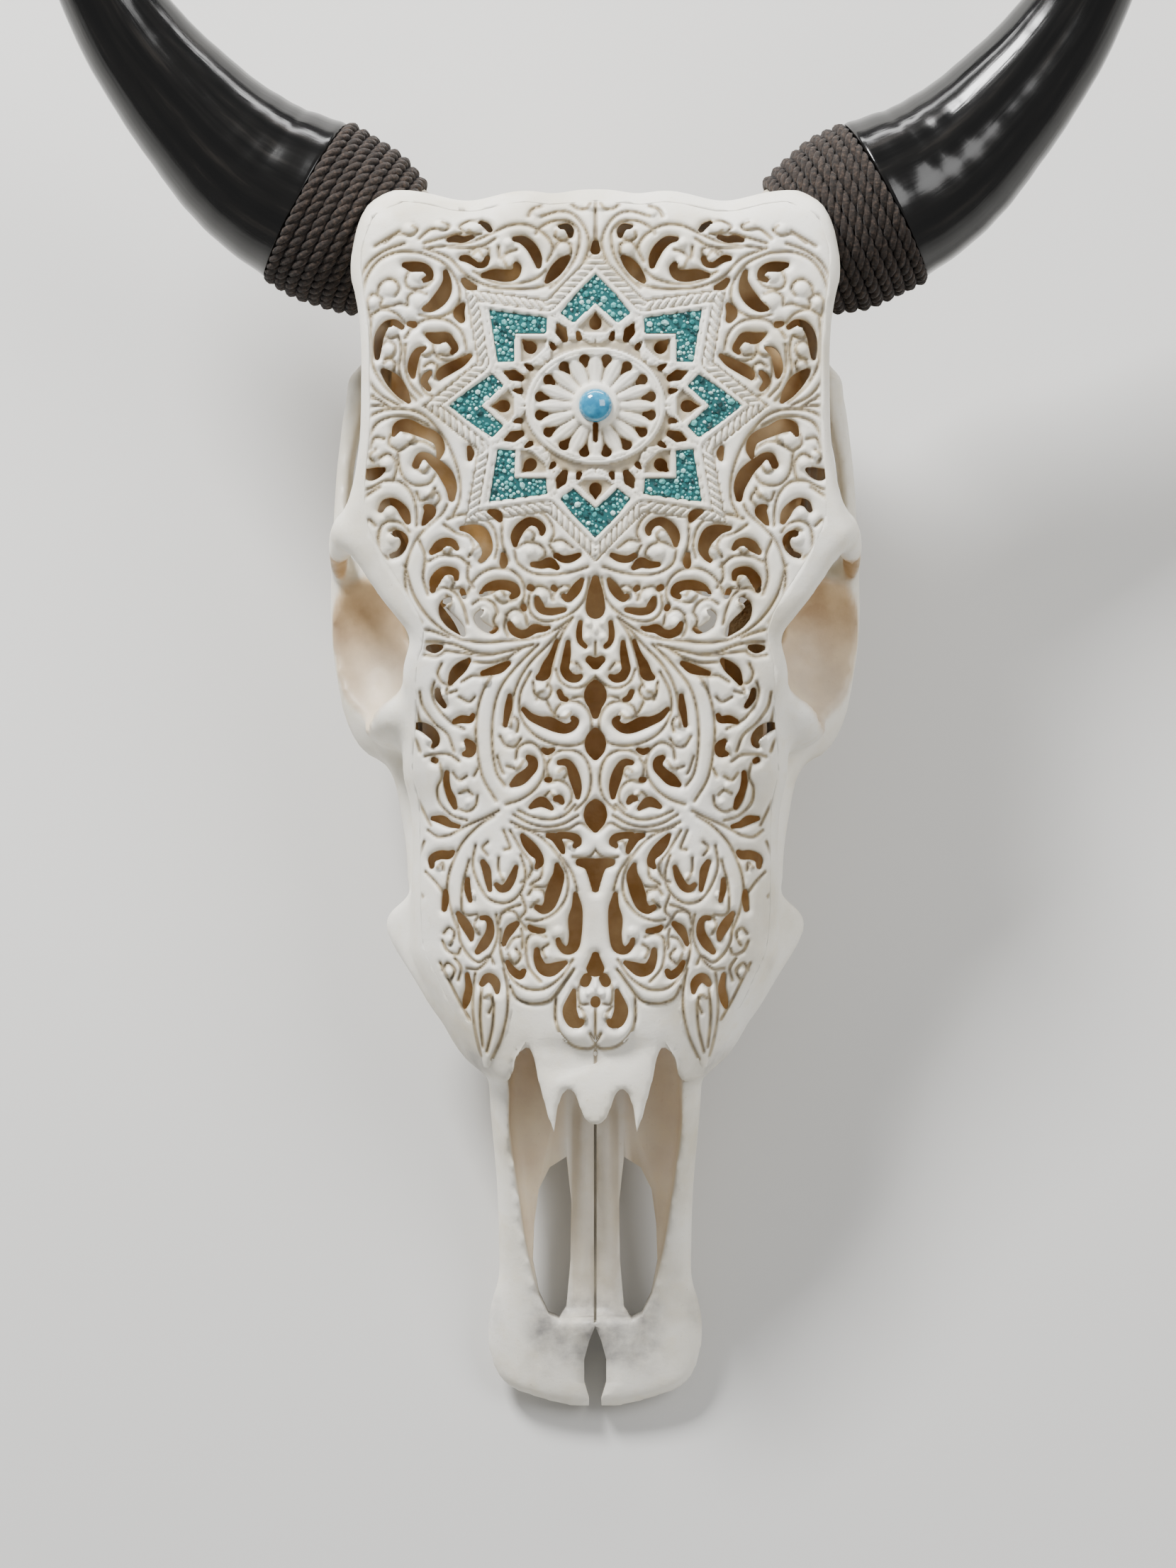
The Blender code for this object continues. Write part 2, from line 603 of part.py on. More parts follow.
def star_relief(cutters):
    """The star's raised frame, the ring in its middle and the collar of the bead."""
    bm = bmesh.new()
    add_frame_band(bm, star_outline(0.0), star_outline(STAR_BAND))
    relief = finish_mesh(bm, "star_frame", cutters)

    bm = bmesh.new()
    circles = []
    for radius in (RING_RADIUS, RING_RADIUS - RING_BAND):
        circle = []
        for step in range(RING_SIDES):
            angle = 2.0 * math.pi * step / RING_SIDES
            circle.append(Vector((radius * 1.07 * math.cos(angle), radius * 0.93 * math.sin(angle))))
        circles.append(circle)
    add_frame_band(bm, circles[0], circles[1])
    ring = finish_mesh(bm, "medallion_ring", cutters)

    bm = bmesh.new()
    top = face_height(0.0, STAR_Y) + STAR_RISE
    bmesh.ops.create_cone(bm, cap_ends=True, segments=20, depth=4.0,
                          radius1=COLLAR_RADIUS + 1.0, radius2=COLLAR_RADIUS,
                          matrix=Matrix.Translation((0.0, STAR_Y, top - 2.0)))
    collar = finish_mesh(bm, "bead_collar", cutters)
    return relief, ring, collar


def drawn_in(outline, gap):
    """An outline, wound anticlockwise, with every edge moved inwards by a gap."""
    points = [Vector(point) for point in outline]
    result = []
    for index, corner in enumerate(points):
        before = (corner - points[index - 1]).normalized()
        after = (points[(index + 1) % len(points)] - corner).normalized()
        inward = Vector((-before.y, before.x)) + Vector((-after.y, after.x))
        result.append(tuple(corner + inward * gap / (1.0 + before.dot(after))))
    return result


def inlay_outline(index):
    """The bed of one chevron field of crushed stone, in one point of the star."""
    tip = star_tip(index)
    out = tip.normalized()
    across = Vector((-out.y, out.x))
    tip_at = tip.length - INLAY_FROM_TIP
    points = (
        (tip_at, 0.0), (INLAY_FOOT, INLAY_HALF), (INLAY_FOOT - 4.0, INLAY_HALF - 6.0),
        (tip_at - INLAY_ARM, 0.0), (INLAY_FOOT - 4.0, 6.0 - INLAY_HALF), (INLAY_FOOT, -INLAY_HALF),
    )
    placed = []
    for along, sideways in points:
        point = out * along + across * sideways
        placed.append((point.x, point.y + STAR_Y))
    return placed


def inlay_beds(cutters):
    """The beds that the crushed stone lies in, and the bead's seat."""
    bm = bmesh.new()
    for index in range(STAR_POINTS):
        add_prism(bm, inlay_outline(index), raised(-INLAY_DEPTH), raised(4.0))
    seat = face_height(0.0, STAR_Y) + STAR_RISE
    seat_radius = BEAD_RADIUS - 0.6
    bmesh.ops.create_cone(bm, cap_ends=True, segments=20, depth=4.0, radius1=seat_radius, radius2=seat_radius,
                          matrix=Matrix.Translation((0.0, STAR_Y, seat)))
    return finish_mesh(bm, "inlay_beds", cutters)


def pierced_cutter(cutters):
    """All the openings of the carving, cut through the roof of bone."""
    bm = bmesh.new()
    deep, high = raised(-ROOF_WALL - 5.0), raised(5.0)
    for opening in PIERCED:
        outline = leaf_outline(*opening)
        add_prism(bm, outline, deep, high)
        add_prism(bm, mirrored_outline(outline), deep, high)
    for y, half_width, half_height in MIDLINE_PIERCED:
        outline = [(0.0, y + half_height), (-half_width, y), (0.0, y - half_height), (half_width, y)]
        add_prism(bm, outline, deep, high)
    # Triangles between the ring and the points of the star
    for index in range(STAR_POINTS):
        angle = (index + 0.5) * 2.0 * math.pi / STAR_POINTS
        out = Vector((math.cos(angle), math.sin(angle)))
        across = Vector((-out.y, out.x))
        corners = (out * 36.0, out * 30.0 + across * 3.5, out * 30.0 - across * 3.5)
        add_prism(bm, [(corner.x, corner.y + STAR_Y) for corner in corners], deep, high)
    return finish_mesh(bm, "pierced_openings", cutters)


def slot_cutter(cutters):
    """The slots through the muzzle's floor and the gap between its tips."""
    bm = bmesh.new()
    for outline in both_sides(PALATE_SLOT):
        add_prism(bm, outline, -110.0, -50.0)
    add_prism(bm, TIP_GAP, -110.0, -50.0)
    return finish_mesh(bm, "muzzle_slots", cutters)


def tooth_places():
    """Name, corner distances and centre of every tooth, front to back on each side."""
    places = []
    for side, word in ((-1.0, "left"), (1.0, "right")):
        y = FRONT_TOOTH_Y
        for number, (length, width, distance) in enumerate(TEETH, start=1):
            centre = Vector((side * distance, y + 0.5 * length))
            places.append((f"tooth_{word}_{number}", centre, 0.5 * width, 0.5 * length))
            y += length + 1.0
    return places


def add_tooth(bm, centre, half_width, half_length, top, bottom_gap, grow):
    """A tooth as a rounded column between its root's end and the rest surface."""
    corner = 0.32
    outline = []
    for u, v in ((1.0, 1.0), (-1.0, 1.0), (-1.0, -1.0), (1.0, -1.0)):
        first = (u * (1.0 - corner), v) if u * v > 0.0 else (u, v * (1.0 - corner))
        second = (u, v * (1.0 - corner)) if u * v > 0.0 else (u * (1.0 - corner), v)
        for across, along in (second, first):
            outline.append((centre.x + across * (half_width + grow), centre.y + along * (half_length + grow)))
    add_prism(bm, outline, lambda x, y: rest_height(y) + bottom_gap, lambda x, y: rest_height(y) + top)


def tooth_sockets(cutters):
    """The alveoli that the teeth stand in."""
    bm = bmesh.new()
    for _, centre, half_width, half_length in tooth_places():
        top = CROWN_HEIGHT + ROOT_DEPTH + FIT_GAP
        add_tooth(bm, centre, half_width, half_length - 0.5, top, -6.0, FIT_GAP)
    return finish_mesh(bm, "tooth_sockets", cutters)


def rest_cutter(cutters):
    """Everything below the rest surface, so that the jugular processes end flat on it."""
    bm = bmesh.new()
    low, high = -300.0, 300.0
    outline = ((low, low), (high, low), (high, high), (low, high))
    add_prism(bm, outline, lambda x, y: rest_height(y) - 60.0, lambda x, y: rest_height(y))
    return finish_mesh(bm, "rest_surface", cutters)


def add_boolean(piece, cutter, operation):
    """An exact Boolean with one cutter."""
    step = piece.modifiers.new(cutter.name, "BOOLEAN")
    step.object = cutter
    step.operation = operation
    step.solver = "EXACT"
    return step


def add_voxels(piece, size):
    """Fuse overlapping masses into one skin."""
    step = piece.modifiers.new("fuse", "REMESH")
    step.mode = "VOXEL"
    step.voxel_size = size * MM
    step.adaptivity = 0.0
    return step


def make_material(name, colour, roughness, metallic=0.0):
    """A Principled material."""
    material = bpy.data.materials.new(name)
    material.use_nodes = True
    shader = material.node_tree.nodes["Principled BSDF"]
    shader.inputs["Base Color"].default_value = (*colour, 1.0)
    shader.inputs["Roughness"].default_value = roughness
    shader.inputs["Metallic"].default_value = metallic
    material.diffuse_color = (*colour, 1.0)
    return material


def make_skull(collection, cutters, material):
    """The whole bone: fused, hollowed, given its nasal tips, thinned and carved."""
    skull = bone_solids(collection)
    skull.data.materials.append(material)
    add_voxels(skull, FUSE_VOXEL)
    for cutter in (cavity_cutter(cutters), trough_cutter(cutters), orbit_cutter(cutters),
                   passage_cutter(cutters), palate_cutter(cutters)):
        add_boolean(skull, cutter, "DIFFERENCE")
    add_boolean(skull, nasal_tips(cutters), "UNION")
    add_voxels(skull, SKIN_VOXEL)
    soften = skull.modifiers.new("soften", "SMOOTH")
    soften.factor = 0.5
    soften.iterations = 4
    thin = skull.modifiers.new("thin", "DECIMATE")
    thin.ratio = SKIN_SHARE
    add_boolean(skull, collar_clearance(cutters), "DIFFERENCE")
    for relief in star_relief(cutters):
        add_boolean(skull, relief, "UNION")
    for cutter in (pierced_cutter(cutters), inlay_beds(cutters), slot_cutter(cutters),
                   tooth_sockets(cutters), rest_cutter(cutters)):
        add_boolean(skull, cutter, "DIFFERENCE")
    return skull


def make_teeth(collection, material):
    """Twelve cheek teeth, worn flat where they meet the rest surface."""
    for name, centre, half_width, half_length in tooth_places():
        bm = bmesh.new()
        add_tooth(bm, centre, half_width, half_length - 0.5, CROWN_HEIGHT + ROOT_DEPTH, 0.0, 0.0)
        finish_mesh(bm, name, collection, material)


def horn_stations():
    """The left horn's centre line and radius, from its rim to its tip."""
    side = HORN_AXIS
    return (
        (0.3, *HORN_RIM, 35.5), (20.0, *(HORN_RIM + side * 20.0), 33.0),
        (50.0, -160.0, 279.5, -50.0, 28.0), (107.0, -196.0, 325.0, -42.0, 20.5),
        (160.0, -216.0, 373.0, -28.0, 15.0), (215.0, -222.0, 425.0, -8.0, 10.0),
        (265.0, -214.0, 471.0, 14.0, 6.0), (310.0, -198.0, 509.0, 38.0, 1.6),
    )


def make_horn(name, side, collection, cutters, material):
    """One horn sheath, tapering along its curve, with a blind socket for the bone core."""
    rings = []
    stations = horn_stations()
    count = 16
    centres = []
    for step in range(count):
        along = stations[0][0] + (stations[-1][0] - stations[0][0]) * (step / (count - 1)) ** 1.05
        x, y, z, radius = smooth_step(stations, along)
        centres.append((Vector((x * -side, y, z)), radius))
    axis = Vector((HORN_AXIS.x * -side, HORN_AXIS.y, HORN_AXIS.z))
    centres[0] = (Vector((HORN_RIM.x * -side, HORN_RIM.y, HORN_RIM.z)) + axis * 0.3, stations[0][4])
    up = Vector((0.0, 0.0, 1.0))
    for index, (centre, radius) in enumerate(centres):
        along = axis if index == 0 else centres[min(index + 1, count - 1)][0] - centres[index - 1][0]
        along = along.normalized()
        across = along.cross(up).normalized()
        lift = across.cross(along).normalized()
        ring = []
        for turn in range(HORN_SIDES):
            angle = 2.0 * math.pi * turn / HORN_SIDES
            ring.append(centre + across * radius * math.cos(angle) + lift * radius * math.sin(angle))
        rings.append(ring)
    bm = bmesh.new()
    add_loft(bm, rings)
    horn = finish_mesh(bm, name, collection, material)

    bm = bmesh.new()
    rim = Vector((HORN_RIM.x * -side, HORN_RIM.y, HORN_RIM.z))
    socket = [(*(rim + axis * along), radius, radius)
              for along, radius in ((-6.0, CORE_TIP_RADIUS + 1.0), (CORE_REACH + 1.5, 20.5))]
    add_sweep(bm, socket, sides=HORN_SIDES)
    add_boolean(horn, finish_mesh(bm, name + "_socket", cutters), "DIFFERENCE")
    return horn


def make_rope(name, side, collection, material):
    """The wound rope as one closed collar whose outside shows its rows of turns."""
    inner = CORE_RADIUS + FIT_GAP
    start, stop = -0.4, ROPE_STATIONS[0][0] + 1.0
    pitch = (stop - start) / ROPE_ROWS
    profile = [(start - 0.5, inner)]
    for row in range(ROPE_ROWS):
        edge = start + pitch * row
        middle = edge + 0.5 * pitch
        profile.append((edge, rope_radius(edge) - 2.0))
        profile.append((middle, rope_radius(middle)))
    profile.append((stop, inner + 0.6))
    profile.append((stop + 0.4, inner))
    rim = Vector((HORN_RIM.x * -side, HORN_RIM.y, HORN_RIM.z))
    axis = Vector((HORN_AXIS.x * -side, HORN_AXIS.y, HORN_AXIS.z))
    bm = bmesh.new()
    add_turned_ring(bm, rim, axis, profile, 16)
    return finish_mesh(bm, name, collection, material)


def make_inlay(collection, material):
    """The eight fields of crushed stone."""
    for index in range(STAR_POINTS):
        bm = bmesh.new()
        add_prism(bm, drawn_in(inlay_outline(index), FIT_GAP), raised(FIT_GAP - INLAY_DEPTH), raised(0.4))
        finish_mesh(bm, f"turquoise_inlay_{index + 1}", collection, material)


def make_bead(collection, material):
    """The round bead in its collar."""
    bm = bmesh.new()
    level = face_height(0.0, STAR_Y) + STAR_RISE
    rings = []
    for height, inset in BEAD_RINGS:
        radius = BEAD_RADIUS - inset
        ring = []
        for turn in range(BEAD_SIDES):
            angle = 2.0 * math.pi * turn / BEAD_SIDES
            ring.append((radius * math.cos(angle), STAR_Y + radius * math.sin(angle), level + height))
        rings.append(ring)
    add_loft(bm, rings)
    return finish_mesh(bm, "turquoise_bead", collection, material)


def middle_along_y(pieces):
    """Halfway between the pieces' front and back ends, in metres."""
    bpy.context.view_layer.update()
    depsgraph = bpy.context.evaluated_depsgraph_get()
    places = []
    for piece in pieces:
        evaluated = piece.evaluated_get(depsgraph)
        places += [(evaluated.matrix_world @ vert.co).y for vert in evaluated.data.vertices]
    return 0.5 * (min(places) + max(places))


def main():
    """Build every piece and set the skull down on its teeth."""
    clear_scene()
    parts = make_collection("carved_cow_skull")
    cutters = make_collection("cutters")
    bone = make_material("bone", (0.80, 0.77, 0.69), 0.55)
    enamel = make_material("tooth", (0.70, 0.62, 0.46), 0.35)
    horn = make_material("horn", (0.012, 0.011, 0.010), 0.18)
    rope = make_material("rope", (0.055, 0.038, 0.028), 0.9)
    stone = make_material("crushed_turquoise", (0.12, 0.45, 0.45), 0.35)
    bead = make_material("bead", (0.04, 0.35, 0.58), 0.15)

    make_skull(parts, cutters, bone)
    make_teeth(parts, enamel)
    for side, word in ((-1.0, "left"), (1.0, "right")):
        make_horn(f"horn_{word}", side, parts, cutters, horn)
        make_rope(f"rope_wrap_{word}", side, parts, rope)
    make_inlay(parts, stone)
    make_bead(parts, bead)

    rest = bpy.data.objects.new("rest_frame", None)
    bpy.context.scene.collection.objects.link(rest)
    rest.rotation_euler = (REST_TILT, 0.0, 0.0)
    rest.location.z = -rest_height(0.0) * math.cos(REST_TILT) * MM
    for collection in (parts, cutters):
        for piece in collection.objects:
            piece.parent = rest
    rest.location.y = -middle_along_y(parts.objects)
    for cutter in cutters.objects:
        cutter.hide_render = True
        cutter.display_type = "WIRE"


main()
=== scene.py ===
import math
import random

import bmesh
import bpy
import numpy as np
from mathutils import Matrix, Vector
from mathutils.bvhtree import BVHTree


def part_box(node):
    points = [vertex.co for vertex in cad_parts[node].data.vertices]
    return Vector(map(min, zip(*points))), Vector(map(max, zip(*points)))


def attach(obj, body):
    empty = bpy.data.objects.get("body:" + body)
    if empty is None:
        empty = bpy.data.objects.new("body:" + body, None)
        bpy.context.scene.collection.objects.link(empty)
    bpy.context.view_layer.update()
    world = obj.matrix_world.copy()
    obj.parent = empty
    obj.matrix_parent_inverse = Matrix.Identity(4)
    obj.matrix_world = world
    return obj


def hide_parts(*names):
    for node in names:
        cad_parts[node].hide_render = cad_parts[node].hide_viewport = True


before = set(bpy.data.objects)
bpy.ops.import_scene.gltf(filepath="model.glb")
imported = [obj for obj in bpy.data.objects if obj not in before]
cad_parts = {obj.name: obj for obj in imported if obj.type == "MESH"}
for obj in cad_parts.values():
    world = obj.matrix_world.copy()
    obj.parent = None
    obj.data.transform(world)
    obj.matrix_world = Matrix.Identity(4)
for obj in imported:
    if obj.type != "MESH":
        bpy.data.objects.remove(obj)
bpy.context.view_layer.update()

# A carved cow skull. All shapes are drawn in the skull's face frame, in millimetres: X across
# the face, Y from the muzzle up to the poll, Z out of the forehead. place() sets them down.

MM = 0.001
REST_TILT = math.radians(12.0)
FRONT_TOOTH_Y = -85.0
FRONT_TOOTH_Z = -118.0
CROWN_HEIGHT = 17.0
ROOT_DEPTH = 10.0
ROOF_WALL = 5.5
FIT_GAP = 0.4
ORBIT_CENTRE = (95.5, 68.0, -46.0)
ORBIT_RADII = (30.0, 36.0, 34.0)


def rest_height(y):
    """Height, in the face frame, of the surface that the skull stands on."""
    return FRONT_TOOTH_Z - math.tan(REST_TILT) * (y - FRONT_TOOTH_Y)


def shift_along():
    """How far the CAD model was moved along Y, read from the box of its front tooth."""
    edge = FRONT_TOOTH_Y + 0.5
    height = rest_height(edge) + CROWN_HEIGHT + ROOT_DEPTH
    unmoved = (edge * math.cos(REST_TILT) - height * math.sin(REST_TILT)) * MM
    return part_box("tooth_left_1")[0].y - unmoved


PLACE = (
    Matrix.Translation((0.0, shift_along(), -rest_height(0.0) * math.cos(REST_TILT) * MM))
    @ Matrix.Rotation(REST_TILT, 4, "X")
    @ Matrix.Scale(MM, 4)
)

# Stations down the face: y, half width, depth of the rolled edge, squareness, crown height,
# underside height and half width of the underside
FACE_STATIONS = (
    (-113.0, 43.0, 30.0, 2.2, -9.0, -95.0, 41.0),
    (-106.0, 52.0, 42.0, 2.2, -7.0, -96.0, 45.0),
    (-97.0, 59.0, 46.0, 2.2, -6.0, -98.0, 51.0),
    (-85.0, 65.0, 46.0, 2.2, -4.5, -101.0, 55.0),
    (-72.0, 71.5, 46.0, 2.2, -3.5, -103.0, 58.0),
    (-58.0, 76.0, 46.0, 2.2, -3.0, -106.0, 61.0),
    (-40.0, 76.0, 44.0, 2.3, -2.0, -110.0, 63.0),
    (-20.0, 75.0, 42.0, 2.3, -1.5, -114.0, 65.0),
    (0.0, 76.0, 40.0, 2.4, -1.5, -118.0, 67.0),
    (15.0, 79.0, 34.0, 2.6, -1.2, -122.0, 68.0),
    (38.0, 77.5, 24.0, 3.0, -1.0, -127.0, 69.0),
    (50.0, 78.5, 18.0, 3.2, -0.5, -128.0, 67.0),
    (60.0, 77.5, 14.0, 3.5, -0.5, -104.0, 60.0),
    (68.0, 75.0, 11.0, 4.0, -0.5, -62.0, 58.0),
    (75.0, 80.0, 10.0, 4.5, -0.5, -36.0, 66.0),
    (83.0, 86.5, 10.0, 5.0, -0.5, -30.0, 72.0),
    (93.0, 93.5, 10.0, 5.0, -0.5, -28.0, 78.0),
    (104.0, 101.0, 10.0, 5.0, 0.0, -28.0, 86.0),
    (108.5, 105.5, 10.0, 5.0, 0.0, -28.0, 88.0),
    (115.0, 103.0, 10.0, 5.5, 0.0, -28.0, 88.0),
    (130.0, 98.5, 11.0, 6.0, 0.5, -29.0, 86.0),
    (150.0, 95.5, 11.0, 6.0, 1.0, -30.0, 84.0),
    (180.0, 95.0, 11.0, 6.0, 1.0, -30.0, 84.0),
    (205.0, 97.0, 12.0, 5.5, 0.0, -34.0, 86.0),
    (216.0, 99.5, 13.0, 5.0, -0.5, -40.0, 88.0),
    (230.0, 98.0, 13.0, 4.5, -1.5, -48.0, 87.0),
    (240.0, 95.0, 12.0, 4.5, -4.0, -46.0, 84.0),
    (246.0, 91.0, 9.0, 4.0, -8.0, -40.0, 82.0),
    (250.5, 84.0, 5.0, 3.5, -13.0, -30.0, 76.0),
)
# Muzzle stations: y, half width, crest height, underside height
MUZZLE_STATIONS = (
    (-250.5, 12.0, -72.0, -77.0), (-248.0, 21.0, -70.0, -78.5), (-243.0, 35.0, -68.0, -80.0),
    (-230.0, 43.5, -66.0, -81.0), (-220.0, 45.0, -64.0, -82.0), (-209.0, 44.0, -62.0, -83.0),
    (-194.0, 40.0, -58.0, -84.0), (-158.0, 40.8, -46.0, -88.0), (-125.0, 43.5, -32.0, -93.0),
    (-100.0, 44.5, -22.0, -96.0), (-90.0, 42.0, -18.0, -92.0),
)
# Braincase stations: y, half width, centre height, half height
BRAINCASE_STATIONS = (
    (58.0, 40.0, -62.0, 36.0), (85.0, 44.0, -62.0, 44.0), (110.0, 49.0, -66.0, 46.0),
    (140.0, 54.0, -70.0, 50.0), (170.0, 58.0, -74.0, 54.0), (200.0, 60.0, -76.0, 56.0),
    (225.0, 56.0, -78.0, 52.0), (238.0, 38.0, -80.0, 36.0),
)
# The nasal cavity and the forehead's sinus: y, half width, lid height, floor height
CAVITY_STATIONS = (
    (-130.0, 34.0, -30.0, -76.0), (-112.0, 37.0, -18.0, -78.0), (-97.0, 50.0, -13.0, -81.0),
    (-72.0, 64.0, -9.0, -86.0), (-40.0, 69.0, -8.0, -90.0), (0.0, 69.0, -7.0, -94.0),
    (38.0, 67.0, -7.0, -100.0), (56.0, 60.0, -6.5, -88.0), (72.0, 60.0, -6.0, -46.0),
    (92.0, 72.0, -6.0, -24.0), (130.0, 86.0, -5.5, -21.0), (180.0, 84.0, -5.0, -21.0),
    (225.0, 84.0, -7.0, -22.0), (233.0, 74.0, -10.0, -20.0),
)
# Half width of the carved field: y, half width
CARVED_STATIONS = (
    (-109.0, 46.5), (-104.0, 48.0), (-98.0, 50.5), (-92.0, 53.5), (-85.0, 58.5), (-72.0, 65.0),
    (-58.0, 71.0), (-40.0, 72.5), (0.0, 73.0), (15.0, 75.5), (38.0, 74.0), (57.0, 73.5), (68.0, 70.5),
    (75.0, 72.0), (83.0, 76.0),
    (93.0, 82.5), (108.0, 91.0), (118.0, 94.5), (130.0, 94.5), (150.0, 92.5), (180.0, 92.5), (205.0, 94.5),
    (215.0, 96.0), (230.0, 94.5), (240.0, 89.0), (246.0, 78.0),
)
# The facial tuber's corner on the left cheek
TUBER_EDGE = (
    (-62.0, -24.0), (-75.0, -36.0), (-82.5, -42.0), (-86.8, -46.0), (-86.8, -51.5), (-82.5, -60.0),
    (-75.5, -70.5), (-66.0, -86.0), (-58.0, -80.0),
)
# Teeth from the front: length along the row, width, distance of the crown from the midline
TEETH = (
    (15.0, 14.0, 49.0), (17.0, 17.0, 51.0), (18.0, 19.0, 53.0),
    (24.0, 22.0, 55.0), (27.0, 23.0, 57.0), (30.0, 22.0, 58.0),
)
# A tooth from its worn crown to its root: share of the full width, height above the rest surface
TOOTH_PROFILE = (
    (0.35, 1.6), (0.55, 0.9), (0.72, 1.5), (0.86, 0.2), (0.95, 0.0), (1.0, 1.0), (1.0, 6.0), (0.98, 12.0),
    (0.96, 18.0), (0.94, CROWN_HEIGHT + ROOT_DEPTH),
)
# The trough between the premaxillae, its left edge from the front of the nasals to the muzzle
TROUGH_EDGE = (
    (-27.0, -95.0), (-31.5, -102.0), (-35.0, -114.0), (-35.5, -130.0), (-33.0, -150.0),
    (-31.0, -165.0), (-29.0, -180.0), (-26.5, -192.0), (-23.5, -203.0), (-17.0, -212.5),
)
NASAL_TIP = (
    (-27.5, -82.0), (-26.0, -98.0), (-23.0, -112.0), (-19.5, -125.0), (-17.0, -133.5),
    (-15.0, -122.0), (-12.0, -111.0), (-8.5, -116.0), (-4.5, -127.0), (0.0, -130.0),
)
PALATE_SLOT = (
    (-12.0, -146.5), (-19.0, -151.0), (-23.5, -160.0), (-25.5, -175.0), (-26.0, -190.0),
    (-23.5, -203.0), (-19.5, -211.5), (-15.0, -213.5), (-12.0, -209.0), (-10.3, -190.0), (-10.0, -165.0),
)
# One of the two rods of bone down the muzzle: x, y, height, half width
ROD_STATIONS = (
    (3.4, -112.0, -74.0, 2.4), (4.2, -132.0, -75.0, 3.4), (4.7, -160.0, -76.5, 4.2),
    (5.0, -190.0, -78.0, 4.6), (5.6, -212.0, -79.0, 5.6), (7.4, -228.0, -79.5, 6.5),
)
TIP_GAP = (
    (0.0, -216.0), (-2.5, -222.0), (-4.6, -230.0), (-4.6, -240.0), (-2.5, -247.0), (-3.0, -256.0),
    (3.0, -256.0), (2.5, -247.0), (4.6, -240.0), (4.6, -230.0), (2.5, -222.0),
)

# Horns, their bone cores and the rope round them
HORN_RIM = Vector((-119.5, 249.5, -52.0))
HORN_AXIS = Vector((-0.873, 0.488, 0.0)).normalized()
CORE_RADIUS = 29.0
CORE_TIP_RADIUS = 22.0
CORE_REACH = 24.0
ROPE_ROWS = 8
ROPE_HALF_THICKNESS = 2.75
# The first and the last row's place along the horn's axis, from the rim
ROPE_SPAN = (-2.8, -38.2)
ROPE_STATIONS = ((-41.0, 31.5), (-36.0, 33.0), (-26.0, 36.0), (-14.0, 37.5), (0.0, 37.5))
# The left horn from its rim: distance along, centre, radius
HORN_STATIONS = (
    (0.3, *HORN_RIM, 35.5), (20.0, *(HORN_RIM + HORN_AXIS * 20.0), 33.0),
    (50.0, -160.0, 279.5, -50.0, 28.0), (107.0, -196.0, 325.0, -42.0, 20.5),
    (160.0, -216.0, 373.0, -28.0, 15.0), (215.0, -222.0, 425.0, -8.0, 10.0),
    (265.0, -214.0, 471.0, 14.0, 6.0), (310.0, -198.0, 509.0, 38.0, 1.6),
)

# The star medallion on the forehead
STAR_Y = 161.3
STAR_POINTS = 8
STAR_UPRIGHT = 63.0
STAR_DIAGONAL = 67.5
STAR_NOTCH = 46.5
STAR_STRETCH = 1.11
# A point's bed of stones, from the star's centre: distance out, sideways
CHEVRON = ((54.5, 0.0), (37.5, 12.6), (33.5, 8.0), (41.5, 0.0), (33.5, -8.0), (37.5, -12.6))
ROPE_BAND = 4.6
PLAIN_BAND = 7.0
HATCH_PITCH = 3.2
PETALS = 16
RING_ACROSS = 28.0
RING_ALONG = 23.4
RING_BAND = 3.4
BEAD_RADIUS = 6.8

